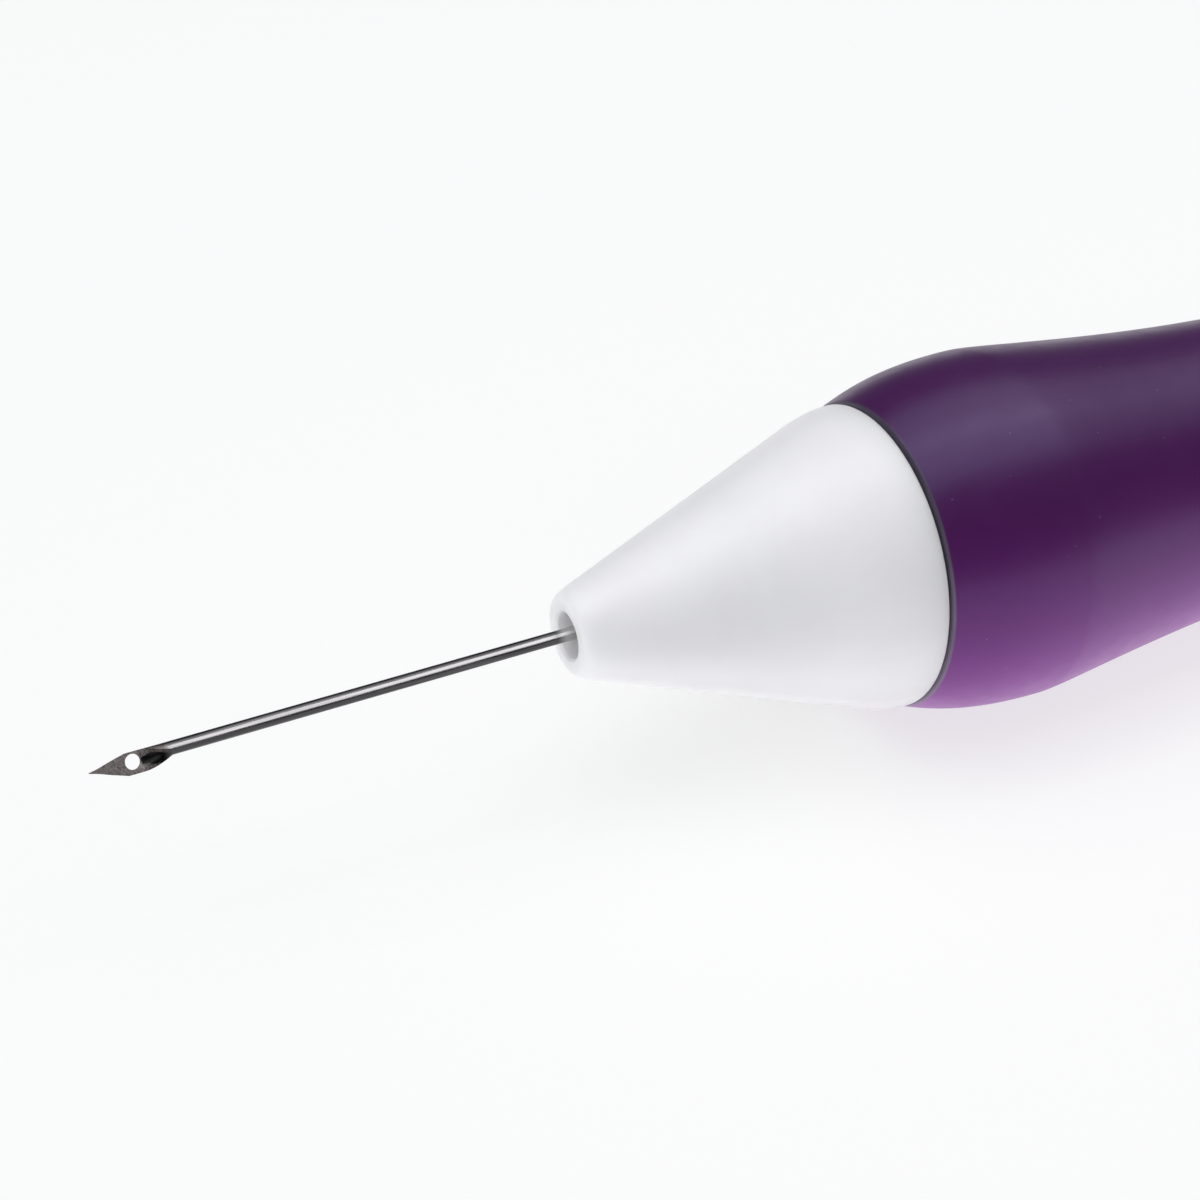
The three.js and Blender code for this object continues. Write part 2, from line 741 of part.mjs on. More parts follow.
const punchNeedle = new THREE.Group();
punchNeedle.position.set(-(tail - needleReach) / 2, 0, axisHeight);
punchNeedle.add(
  piece('needle_tube', needleTube(), needleSteel),
  piece('needle_hub', needleHub(), brass),
  piece('hub_o_ring', ringSolid(hubRingPlace, hubRingRadius, hubRingWire), blackRubber),
  piece('carriage_tube', carriageTube(), naturalPlastic),
  piece('follower_pin_left', followerPin(1), springSteel),
  piece('follower_pin_right', followerPin(-1), springSteel),
  piece('guide_barrel', guideBarrel(), greyPlastic),
  piece('cam_sleeve', camSleeve(), naturalPlastic),
  piece('thrust_washer', thrustWasher(), greyPlastic),
  piece('nose_cone', noseCone(), whitePlastic),
  piece('nose_o_ring', ringSolid(noseRingPlace, noseRingRadius, noseRingWire), blackRubber),
  piece('core_barrel', coreBarrel(), whitePlastic),
  piece('soft_grip', softGrip(), purpleRubber),
  piece('retaining_ring', retainingRing(), springSteel),
  piece('sleeve_o_ring', ringSolid(sleeveRingPlace, sleeveRingRadius, sleeveRingWire), blackRubber),
  piece('detent_ball', detentBall(), springSteel),
  piece('detent_spring', detentSpring(), springSteel),
  piece('depth_dial', depthDial(), whitePlastic),
  piece('end_cap', endCap(), purpleRubber),
  piece('yarn_guide_tube', yarnGuideTube(), naturalPlastic),
);

export default punchNeedle;
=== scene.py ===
"""Looks of an adjustable punch needle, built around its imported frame.

Sizes are in millimetres. A place along the tool is a distance behind the flat
face of the nose, and a radius is measured from the tool's axis.
"""

from math import cos, hypot, pi, radians, sin, sqrt, tan

import bmesh
import bpy
from mathutils import Matrix, Vector

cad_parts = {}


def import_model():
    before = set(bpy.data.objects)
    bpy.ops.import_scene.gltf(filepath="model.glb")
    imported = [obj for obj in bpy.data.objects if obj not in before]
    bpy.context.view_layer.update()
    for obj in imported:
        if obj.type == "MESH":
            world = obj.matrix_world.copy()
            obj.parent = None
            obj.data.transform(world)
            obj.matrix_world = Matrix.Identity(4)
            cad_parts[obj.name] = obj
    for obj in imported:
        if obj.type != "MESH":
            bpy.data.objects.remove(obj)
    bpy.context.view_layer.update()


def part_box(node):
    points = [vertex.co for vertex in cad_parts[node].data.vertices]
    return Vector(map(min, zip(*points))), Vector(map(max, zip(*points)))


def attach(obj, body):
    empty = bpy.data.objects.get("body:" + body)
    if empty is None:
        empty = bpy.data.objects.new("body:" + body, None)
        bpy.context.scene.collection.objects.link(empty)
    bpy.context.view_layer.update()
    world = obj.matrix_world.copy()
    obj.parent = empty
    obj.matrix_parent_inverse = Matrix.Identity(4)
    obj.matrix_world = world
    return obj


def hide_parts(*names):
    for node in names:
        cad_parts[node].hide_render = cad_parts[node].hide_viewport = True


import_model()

MM = 0.001
ALONG = Vector((1, 0, 0))
NOSE_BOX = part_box("nose_cone")
ORIGIN = Vector((NOSE_BOX[0].x, 0, (NOSE_BOX[0].z + NOSE_BOX[1].z) / 2))


def span(node):
    """Front and rear of a CAD node, as places along the tool."""
    low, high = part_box(node)
    return (low.x - ORIGIN.x) / MM, (high.x - ORIGIN.x) / MM


def half_height(node):
    """Half the height of a CAD node, which is the radius of one that is turned about the axis."""
    low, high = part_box(node)
    return (high.z - low.z) / 2 / MM


# Photograph: the camera that sees the tool as the photograph does
SENSOR_WIDTH = 36
FOCAL_LENGTH = 85
VIEW_AZIMUTH = -26.64
VIEW_ELEVATION = 31.93
VIEW_DISTANCE = 187.98
NOSE_RIGHT = -2.211
NOSE_UP = -2.394

# Clearances, and how far a cutter reaches past what it cuts
GAP = 0.3
GROOVE_GAP = 0.15
SEAT_GAP = 0.08
BOX_MARGIN = 0.005
OVERSHOOT = 1

# Roundings of edges
SHARP = 0
TINY = 0.1
SMALL = 0.2
MEDIUM = 0.3
LARGE = 0.4

# Needle
NEEDLE_FRONT, NEEDLE_REAR = span("needle_tube")
NEEDLE_RADIUS = 0.455
NEEDLE_BORE = 0.3
HEAD_LENGTH = 5.36
SHOULDER_LENGTH = 3.4
HEAD_WIDTH = 1.45
HEAD_SIDESTEP = -0.29
POINT_LENGTH = 2.47
POINT_WIDTH = 0.04
POINT_HEIGHT = -0.2
POINT_SIDESTEP = -0.15
BLADE_THICKNESS = 0.17
MOUTH_WIDTH = 0.8
MOUTH_DEPTH = 0.5
MOUTH_SIDESTEP = -0.37
MOUTH_END = 4.5
FLAT_LENGTH = 3.2
SWEEP_SHARE = 0.4
GROUND_TWIST = 20
EYE_SETBACK = 2.88
EYE_LENGTH = 0.985
EYE_WIDTH = 1.01
EYE_SIDESTEP = -0.21
OPENING_ANGLE = 30
NEEDLE_BEND = 1.03
NEEDLE_RISE = 0.11

# Ferrule, carrier and pins
FERRULE_FRONT, FERRULE_REAR = span("needle_hub")
FERRULE_RADIUS = half_height("needle_hub")
FERRULE_BORE_GAP = 0.04
FERRULE_EDGE = 0.3
FERRULE_LIP = 0.25
FERRULE_PLAIN_REAR = 4
FERRULE_RING_WIRE = 0.9
KNURL_START = 0.8
KNURL_END = 3.4
KNURL_DEPTH = 0.09
KNURL_WAVES = 14
KNURL_SLANT = 3
CARRIER_FRONT, CARRIER_REAR = span("carriage_tube")
CARRIER_RADIUS = 3.2
CARRIER_FRONT_EDGE = 0.6
CARRIER_SOCKET_GAP = 0.16
YARN_BORE = 1.2
PIN_RADIUS = 0.8
PIN_CHAMFER = 0.15
PIN_PLACE = sum(span("follower_pin_left")) / 2
PIN_ROOT = 2.1
PIN_TIP = 6.6
PIN_HOLE_DEPTH = 0.1

# Barrel and sleeve
BARREL_FRONT, BARREL_REAR = span("guide_barrel")
BARREL_BORE = 3.5
BARREL_RADIUS = 4.8
FLANGE_RADIUS = 7.4
FLANGE_THICKNESS = 2
SLEEVE_FRONT, SLEEVE_REAR = span("cam_sleeve")
SLEEVE_BORE = 5.1
SLEEVE_RADIUS = 6.9
SLEEVE_SLACK = 0.02
SLEEVE_OUTSIDE = SLEEVE_RADIUS - SLEEVE_SLACK
WASHER_EDGE = 0.12
NECK_RADIUS = 6
NECK_FRONT = span("retaining_ring")[0] - GAP
SLEEVE_RING_WIRE = 1
KEY_WIDTH = 1.6
KEY_HEIGHT = 0.7
SLOT_WIDTH = 2.2
SLOT_END_STEPS = (0.98, 0.9, 0.75, 0.55, 0.3)
SETTINGS = 12
TRAVEL = 24.2
TURN = radians(330)

# Nose cone
NOSE_BORE = 1.625
NOSE_LIP = 0.15
NOSE_FACE = 2.5
NOSE_EDGE = 0.48
NOSE_LINE = 2.9
NOSE_BORE_LENGTH = 3.5
CAVITY_START = 13
CAVITY_RADIUS = 5.7
CONE_END = 10.65
SEAM = 23.1
SEAM_RADIUS = 10.757
SEAM_LIP = 0.05
SEAM_EDGE = 0.25
SEAM_CORNER = 0.2
LIP_EDGE = 0.3
LIP_ROOT = 0.2
BAND_LENGTH = 1.7
SPIGOT_RADIUS = 7.3
SPIGOT_REAR = span("nose_cone")[1]
SPIGOT_CHAMFER = 0.4
NOSE_RING_WIRE = 0.9
THREAD_PITCH = 1.0
THREAD_MARGIN = 0.4
NOSE_THREAD = 0.14
CORE_THREAD = 0.09
CORE_THREAD_START = 0.6
CORE_THREAD_END = 4

# Grip and core
GRIP_FRONT, GRIP_REAR = span("soft_grip")
HUMP_RADIUS = half_height("soft_grip") - BOX_MARGIN
FRONT_RADIUS = 10.86
FRONT_SLOPE = 0.38
HUMP_SETBACK = 9.7
HUMP_RISE = 4.5
HUMP_FALL = 2.2
WAIST_RADIUS = 10.25
WAIST_SETBACK = 37.3
WAIST_FALL = 13.2
WAIST_RISE = 14
GRIP_END_RADIUS = 11.326
GRIP_END_RISE = 12
GRIP_EDGE = 0.22
GRIP_BORE_GAP = 0.05
CORE_RADIUS = 9
CORE_FRONT, CORE_REAR = span("core_barrel")
COLLAR_FRONT = 93
COLLAR_EDGE = 0.5
SOCKET_RADIUS = 7.6
CORE_BORE = 7.2
LEDGE = 33.4

# Index mark on the collar: its ends lie ahead of the collar's rear
MARK_START = 4.2
MARK_END = 0.7
MARK_POINT = 0.9
MARK_HALF_WIDTH = 0.75
MARK_HALF_TAIL = 0.25
MARK_DEPTH = 0.15
MARK_HEIGHT = 0.03

# Click ball, its spring and the snap ring
BALL_RADIUS = 0.9
BALL_CIRCLE = (CORE_BORE + GRIP_END_RADIUS) / 2
BALL_HOLE = 1.05
BALL_HOLE_DEPTH = 5
BALL_POLE = 0.02
DIMPLE_DEPTH = 0.4
DIMPLE_LEAD = 0.5
DIMPLE_CURVE = ((0, 1), (0.6, 0.7), (1, 0.15))
SPRING_WIRE = 0.28
SPRING_TURNS = 5
SNAP_INNER = 6.3
SNAP_OUTER = 7.5
SNAP_OPENING = 50
SNAP_EDGE = 0.15

# Dial and tail cap
DIAL_FRONT, DIAL_REAR = span("depth_dial")
DIAL_RADIUS = 12.69
BAND_WIDTH = 5.5
BAND_REAR = DIAL_FRONT + BAND_WIDTH
BAND_STEP = 0.5
FLUTE_RADIUS = 5
FLUTE_DEPTH = 0.9
FLUTE_EDGE = 0.25
DIAL_EDGE = 1.1
DIAL_SHOULDER = 2
DIAL_BORE = 5.2
NUMBER_HEIGHT = 2.6
NUMBER_DEPTH = 0.06
FONT_SIZE_PER_HEIGHT = 1.4
CAP_FRONT, CAP_REAR = span("end_cap")
CAP_PLUG = 7.65
CAP_FLANGE = 9.54
CAP_RECESS = 8
CAP_RECESS_DEPTH = 4
CAP_EDGE = 1.2
CAP_SHOULDER = 1.6
FUNNEL_MOUTH = 2.5
FUNNEL_LIP = 0.5
FUNNEL_RIM_DEPTH = 0.4
FUNNEL_RIM_WIDTH = 0.3
FUNNEL_DEPTH = 3
THROAT_LENGTH = 1
THROAT_FLARE = 0.1
YARN_TUBE_RADIUS = 0.885
YARN_TUBE_BORE = 0.6
YARN_TUBE_EDGE = 0.08
YARN_TUBE_SEAT = 2.5


# Curves and outlines of (place, radius) points

def circle(segments):
    """Evenly spaced angles round a full turn."""
    return [2 * pi * k / segments for k in range(segments)]


def clamped(value):
    """The value, held between 0 and 1."""
    return min(max(value, 0), 1)


def eased(value):
    """The value, held between 0 and 1, with a soft start and end."""
    t = clamped(value)
    return t * t * (3 - 2 * t)


def mixed(a, b, share):
    """From a where share is 0 to b where it is 1."""
    return a + (b - a) * share


def spaced(start, end, steps):
    """Values from start to end, both included."""
    return [mixed(start, end, i / steps) for i in range(steps + 1)]


def weighted(points, weights):
    """Weighted sum of points on a flat outline."""
    return tuple(sum(w * p[k] for w, p in zip(weights, points)) for k in range(2))


def quadratic(start, control, end, steps):
    """Points after start on a quadratic curve."""
    points = []
    for t in spaced(0, 1, steps)[1:]:
        weights = ((1 - t) ** 2, 2 * t * (1 - t), t ** 2)
        points.append(weighted((start, control, end), weights))
    return points


def cubic(start, first, second, end, steps):
    """Points after start on a cubic curve."""
    points = []
    for t in spaced(0, 1, steps)[1:]:
        weights = ((1 - t) ** 3, 3 * t * (1 - t) ** 2, 3 * t ** 2 * (1 - t), t ** 3)
        points.append(weighted((start, first, second, end), weights))
    return points


def rounded(corners, steps=5):
    """A closed outline from (place, radius, rounding) corners."""
    outline = []
    for i, (x, r, rounding) in enumerate(corners):
        corner = Vector((x, r))
        if not rounding:
            outline.append((x, r))
            continue
        before = Vector(corners[i - 1][:2]) - corner
        after = Vector(corners[(i + 1) % len(corners)][:2]) - corner
        start = corner + before.normalized() * min(rounding, before.length / 2)
        end = corner + after.normalized() * min(rounding, after.length / 2)
        outline.append(tuple(start))
        outline.extend(quadratic(start, corner, end, steps))
    return outline


def tube_outline(front, rear, bore, radius, edge):
    """A closed outline of a plain tube with rounded edges."""
    return rounded([(front, bore, edge), (rear, bore, edge), (rear, radius, edge), (front, radius, edge)])


def groove(node, surface, bottom, edge=SHARP):
    """Corners of a groove for the ring of a CAD node, from front to rear."""
    front, rear = span(node)
    front -= GROOVE_GAP
    rear += GROOVE_GAP
    return [(front, surface, SHARP), (front, bottom, edge), (rear, bottom, edge), (rear, surface, SHARP)]


# Solids

def add(name, data):
    """Puts a new object into the scene."""
    thing = bpy.data.objects.new(name, data)
    bpy.context.scene.collection.objects.link(thing)
    return thing


def settled(thing):
    """The mesh of a text, or of a solid with its modifiers applied."""
    bpy.context.view_layer.update()
    view = bpy.context.evaluated_depsgraph_get()
    return bpy.data.meshes.new_from_object(thing.evaluated_get(view))


def mesh_object(name, points, faces):
    """An object from points in millimetres: place along the tool, left and up from its axis."""
    mesh = bpy.data.meshes.new(name)
    mesh.from_pydata([ORIGIN + Vector(p) * MM for p in points], [], faces)
    skin = bmesh.new()
    skin.from_mesh(mesh)
    bmesh.ops.recalc_face_normals(skin, faces=skin.faces)
    skin.to_mesh(mesh)
    skin.free()
    return add(name, mesh)


def strip(row, following, count):
    """Faces between two rings of count points, from the number of each ring's first point."""
    faces = []
    for k in range(count):
        side = (k + 1) % count
        faces.append((row + k, row + side, following + side, following + k))
    return faces


def lathe(name, outline, segments=160, shape=None):
    """Turns a closed outline about the tool's axis. A shape may change the radius by place and angle."""
    points = []
    for x, r in outline:
        for angle in circle(segments):
            reach = shape(x, r, angle) if shape else r
            points.append((x, reach * cos(angle), reach * sin(angle)))
    faces = []
    for i in range(len(outline)):
        faces += strip(i * segments, (i + 1) % len(outline) * segments, segments)
    return mesh_object(name, points, faces)


def loft(name, rings):
    """Joins rings of points into one closed skin."""
    count = len(rings[0])
    points = [p for ring in rings for p in ring]
    faces = [tuple(range(count)), tuple(range(len(points) - count, len(points)))]
    for row in range(0, len(points) - count, count):
        faces += strip(row, row + count, count)
    return mesh_object(name, points, faces)


def disc(x, radius, left, height, segments):
    """A round section across the tool, whose centre lies so far left and up from the axis."""
    return [(x, left + radius * cos(a), height + radius * sin(a)) for a in circle(segments)]


def cross_rod(name, sections):
    """A round bar across the tool at the pins' place, from (left, radius) sections."""
    return loft(name, [
        [(PIN_PLACE + radius * cos(a), left, radius * sin(a)) for a in circle(48)]
        for left, radius in sections
    ])


def key_block(name, front, rear, half_width, low, high):
    """A bar along the top of the tool between two places, from a low to a high radius."""
    corners = [(-half_width, low), (half_width, low), (half_width, high), (-half_width, high)]
    return loft(name, [[(x, y, z) for y, z in corners] for x in (front, rear)])


def sweep(name, centres, section):
    """A wire along centres. The section gives (outward, along) offsets from each centre."""
    rings = []
    for centre, outward, along in centres:
        rings.append([centre + outward * a + along * b for a, b in section])
    return loft(name, rings)


def combine(target, other, operation="DIFFERENCE"):
    """Cuts another solid from target, or joins it on, and deletes the other."""
    change = target.modifiers.new("combine", "BOOLEAN")
    change.operation = operation
    change.solver = "EXACT"
    change.object = other
    mesh = settled(target)
    target.modifiers.clear()
    old = target.data
    target.data = mesh
    bpy.data.meshes.remove(old)
    bpy.data.meshes.remove(other.data)
    return target


def smooth(thing, angle=30):
    """Shades a piece smooth, apart from edges sharper than angle."""
    thing.data.shade_smooth()
    thing.data.set_sharp_from_angle(angle=radians(angle))
    return thing


def ring_of(name, node, wire):
    """An O-ring in the place of a CAD ring."""
    front, rear = span(node)
    middle = (front + rear) / 2
    reach = half_height(node) - wire / 2
    return smooth(lathe(name, [
        (middle + wire / 2 * cos(a), reach + wire / 2 * sin(a)) for a in circle(24)
    ]))


# Needle: a tube pressed flat and wide at the head, ground open on top, and narrowed to a point
OPEN_UP = Vector((0, -cos(radians(OPENING_ANGLE)), sin(radians(OPENING_ANGLE))))
OPEN_SIDE = Vector((0, OPEN_UP.z, -OPEN_UP.y))


def pressing(setback):
    """How far the press has widened the head, from 0 at the round tube to 1 at the blade."""
    return sin(clamped((HEAD_LENGTH - setback) / (HEAD_LENGTH - SHOULDER_LENGTH)) * pi / 2)


def head_ellipse(setback, side, height, half_width, half_depth):
    """One section of the head or its bore, around a centre at a side and height from the axis."""
    centre = Vector((setback + NEEDLE_FRONT, 0, 0)) + OPEN_SIDE * side + OPEN_UP * height
    return [
        centre + OPEN_SIDE * (half_width * cos(angle)) + OPEN_UP * (half_depth * sin(angle))
        for angle in circle(96)
    ]


def head_ring(setback):
    """A section of the pressed head, level with the tube's underside and drawn to one side."""
    flattened = eased((HEAD_LENGTH - setback) / (HEAD_LENGTH - EYE_SETBACK))
    narrowed = clamped(setback / POINT_LENGTH)
    full_width = mixed(NEEDLE_RADIUS, HEAD_WIDTH / 2, pressing(setback))
    full_depth = mixed(NEEDLE_RADIUS, BLADE_THICKNESS, flattened)
    half_width = mixed(POINT_WIDTH / 2, full_width, narrowed)
    half_depth = mixed(POINT_WIDTH / 2, full_depth, sqrt(narrowed))
    side = mixed(POINT_SIDESTEP, HEAD_SIDESTEP * pressing(setback), narrowed)
    underside = mixed(POINT_HEIGHT, -NEEDLE_RADIUS, eased(narrowed))
    return head_ellipse(setback, side, underside + half_depth, half_width, half_depth)


def mouth_ring(setback):
    """A section of the bore, pressed wide with the head where it opens."""
    pressed = pressing(setback)
    half_width = mixed(NEEDLE_BORE, MOUTH_WIDTH / 2, pressed)
    half_depth = mixed(NEEDLE_BORE, MOUTH_DEPTH / 2, pressed)
    return head_ellipse(setback, MOUTH_SIDESTEP * pressed, half_depth - NEEDLE_BORE, half_width, half_depth)


def ground_block():
    """What the grinding takes off the head: a flat blade that sweeps up and turns towards the heel."""
    blade_top = BLADE_THICKNESS - NEEDLE_RADIUS
    tip_top = POINT_HEIGHT + POINT_WIDTH
    clear = 3 * NEEDLE_RADIUS
    twist = radians(GROUND_TWIST)
    slope = tan(twist)
    heel = (HEAD_LENGTH, NEEDLE_RADIUS / cos(twist))
    mouth_end = (MOUTH_END, NEEDLE_BORE)
    sweep_start = (mixed(FLAT_LENGTH, MOUTH_END, SWEEP_SHARE), blade_top)
    flat = (FLAT_LENGTH, blade_top)
    profile = [heel, *cubic(heel, mouth_end, sweep_start, flat, 24)]
    profile += [(POINT_LENGTH, blade_top), (0, tip_top), (-POINT_LENGTH, tip_top)]
    profile += [(-POINT_LENGTH, clear), (HEAD_LENGTH, clear)]

    def edge(side):
        points = []
        for x, height in profile:
            turned = side * slope * eased((x - FLAT_LENGTH) / (HEAD_LENGTH - FLAT_LENGTH))
            place = Vector((x + NEEDLE_FRONT, 0, 0))
            points.append(place + OPEN_UP * (height + turned) + OPEN_SIDE * side)
        return points

    return loft("ground_block", [edge(-HEAD_WIDTH), edge(HEAD_WIDTH)])


def eye_cutter():
    """An oval bar through the blade."""
    return loft("eye_cutter", [[
        Vector((EYE_SETBACK + NEEDLE_FRONT + EYE_LENGTH / 2 * cos(angle), 0, 0))
        + OPEN_SIDE * (EYE_SIDESTEP + EYE_WIDTH / 2 * sin(angle))
        + OPEN_UP * height
        for angle in circle(64)
    ] for height in (-2 * NEEDLE_RADIUS, 2 * NEEDLE_RADIUS)])


def needle_line(x):
    """Height of the needle's line over the axis: it lifts inside the nose and bends down in front."""
    return NEEDLE_RISE * (1 - eased(x / FERRULE_FRONT)) + min(0, x) * tan(radians(NEEDLE_BEND))


def needle():
    """Hollow needle: a flat spear head, an eye through the blade and the bore's open mouth behind it."""
    behind = [x - NEEDLE_FRONT for x in (*spaced(0, FERRULE_FRONT, 6), NEEDLE_REAR)]
    thing = loft("needle", [head_ring(setback) for setback in (*spaced(0, HEAD_LENGTH, 88), *behind)])
    bore_places = (*spaced(EYE_SETBACK, HEAD_LENGTH, 40), *behind, behind[-1] + OVERSHOOT)
    combine(thing, loft("bore", [mouth_ring(setback) for setback in bore_places]))
    combine(thing, ground_block())
    combine(thing, eye_cutter())
    for vertex in thing.data.vertices:
        vertex.co.z += needle_line((vertex.co.x - ORIGIN.x) / MM) * MM
    return smooth(thing, angle=28)


def ferrule():
    """Brass ferrule with a knurled band in front, flared behind for the yarn."""
    seat = NEEDLE_RADIUS + FERRULE_BORE_GAP
    outline = [(FERRULE_FRONT, seat), (NEEDLE_REAR + GAP, seat)]
    outline += [(FERRULE_REAR, FERRULE_RADIUS - FERRULE_LIP), (FERRULE_REAR, FERRULE_RADIUS)]
    knurl_steps = spaced(FERRULE_REAR - FERRULE_PLAIN_REAR, FERRULE_FRONT + FERRULE_EDGE, 60)
    outline += [(x, FERRULE_RADIUS) for x in knurl_steps]
    outline += [(FERRULE_FRONT, FERRULE_RADIUS - FERRULE_EDGE)]

    def knurl(x, r, angle):
        if r < FERRULE_RADIUS or not KNURL_START < x - FERRULE_FRONT < KNURL_END:
            return r
        waves = KNURL_WAVES * angle
        slant = KNURL_SLANT * x
        return r - KNURL_DEPTH * abs(sin(waves + slant)) * abs(sin(waves - slant))

    return smooth(lathe("ferrule", outline, segments=168, shape=knurl))


def carrier():
    """Slim tube that holds the ferrule in a socket and carries the two pins."""
    socket = FERRULE_RADIUS + CARRIER_SOCKET_GAP
    socket_end = FERRULE_REAR + GROOVE_GAP
    groove_bottom = half_height("hub_o_ring") + GROOVE_GAP
    thing = lathe("carrier", rounded([
        (CARRIER_FRONT, socket, SMALL),
        *groove("hub_o_ring", socket, groove_bottom),
        (socket_end, socket, SHARP),
        (socket_end, YARN_BORE, SHARP),
        (CARRIER_REAR, YARN_BORE, LARGE),
        (CARRIER_REAR, CARRIER_RADIUS, LARGE),
        (CARRIER_FRONT, CARRIER_RADIUS, CARRIER_FRONT_EDGE),
    ]))
    hole = PIN_RADIUS + SEAT_GAP
    hole_start = PIN_ROOT - PIN_HOLE_DEPTH
    hole_end = CARRIER_RADIUS + PIN_RADIUS
    for side in (-1, 1):
        combine(thing, cross_rod("pin_hole", [(side * hole_start, hole), (side * hole_end, hole)]))
    return smooth(thing)


def pin(side, name):
    """Follower pin with chamfered ends, on the left where side is 1 and on the right where it is -1."""
    sections = [
        (PIN_ROOT, PIN_RADIUS - PIN_CHAMFER),
        (PIN_ROOT + PIN_CHAMFER, PIN_RADIUS),
        (PIN_TIP - 2 * PIN_CHAMFER, PIN_RADIUS),
        (PIN_TIP - PIN_CHAMFER / 2, PIN_RADIUS - PIN_CHAMFER / 2),
        (PIN_TIP, PIN_RADIUS - 2 * PIN_CHAMFER),
    ]
    return smooth(cross_rod(name, [(side * left, radius) for left, radius in sections]))


def guide_barrel():
    """Fixed barrel with a flange and two straight slots with round ends."""
    thing = lathe("slotted_barrel", rounded([
        (BARREL_FRONT, BARREL_BORE, SMALL),
        (BARREL_REAR, BARREL_BORE, SMALL),
        (BARREL_REAR, BARREL_RADIUS, MEDIUM),
        (BARREL_FRONT + FLANGE_THICKNESS, BARREL_RADIUS, MEDIUM),
        (BARREL_FRONT + FLANGE_THICKNESS, FLANGE_RADIUS, SMALL),
        (BARREL_FRONT, FLANGE_RADIUS, SMALL),
    ]))
    half = SLOT_WIDTH / 2
    reach = BARREL_RADIUS + OVERSHOOT

    def stadium(left):
        ends = [(PIN_PLACE, pi / 2), (PIN_PLACE + TRAVEL, -pi / 2)]
        return [
            (place + half * cos(start + a), left, half * sin(start + a))
            for place, start in ends for a in spaced(0, pi, 16)
        ]

    return smooth(combine(thing, loft("slot", [stadium(-reach), stadium(reach)])))


def helical_slot(start_angle):
    """A cutter along one helical slot of the sleeve, with round ends."""
    middle = (SLEEVE_BORE + SLEEVE_RADIUS) / 2
    side_turn = SLOT_WIDTH / 2 / middle
    side_reach = SLOT_WIDTH / 2 * hypot(1, TRAVEL / (TURN * middle))
    lead_in = [-side_turn * step for step in SLOT_END_STEPS]
    run_out = [TURN + side_turn * step for step in SLOT_END_STEPS[::-1]]
    inner = SLEEVE_BORE - OVERSHOOT
    outer = SLEEVE_RADIUS + OVERSHOOT
    corners = [(inner, -1), (inner, 1), (outer, 1), (outer, -1)]
    rings = []
    for turned in (*lead_in, *spaced(0, TURN, 72), *run_out):
        beyond = max(-turned, turned - TURN, 0) / side_turn
        half = side_reach * sqrt(1 - beyond ** 2)
        place = PIN_PLACE + TRAVEL * turned / TURN
        angle = start_angle - turned
        across = cos(angle)
        up = sin(angle)
        rings.append([(place + side * half, r * across, r * up) for r, side in corners])
    return loft("helical_slot", rings)


def turning_sleeve():
    """Sleeve with two helical slots, a ring groove, and a keyed neck for the dial."""
    groove_bottom = half_height("sleeve_o_ring") - SLEEVE_RING_WIRE - GROOVE_GAP
    thing = lathe("turning_sleeve", rounded([
        (SLEEVE_FRONT, SLEEVE_BORE, SMALL),
        (SLEEVE_REAR, SLEEVE_BORE, SMALL),
        (SLEEVE_REAR, NECK_RADIUS, LARGE),
        (NECK_FRONT, NECK_RADIUS, SHARP),
        (NECK_FRONT, SLEEVE_OUTSIDE, MEDIUM),
        *reversed(groove("sleeve_o_ring", SLEEVE_OUTSIDE, groove_bottom, TINY)),
        (SLEEVE_FRONT, SLEEVE_OUTSIDE, MEDIUM),
    ]))
    combine(thing, helical_slot(0))
    combine(thing, helical_slot(pi))
    root = NECK_RADIUS - KEY_HEIGHT
    top = NECK_RADIUS + KEY_HEIGHT
    key = key_block("key", DIAL_FRONT + GAP, SLEEVE_REAR, KEY_WIDTH / 2, root, top)
    return smooth(combine(thing, key, "UNION"))


def thread(front, rear, radius, depth):
    """A shape that gives one radius a screw thread between two places, which fades out at both."""

    def shape(x, r, angle):
        if r != radius or not front < x < rear:
            return r
        fade = clamped((x - front) / THREAD_PITCH) * clamped((rear - x) / THREAD_PITCH)
        wave = 0.5 + 0.5 * cos(2 * pi * x / THREAD_PITCH - angle)
        return r + depth * fade * eased(wave)

    return shape


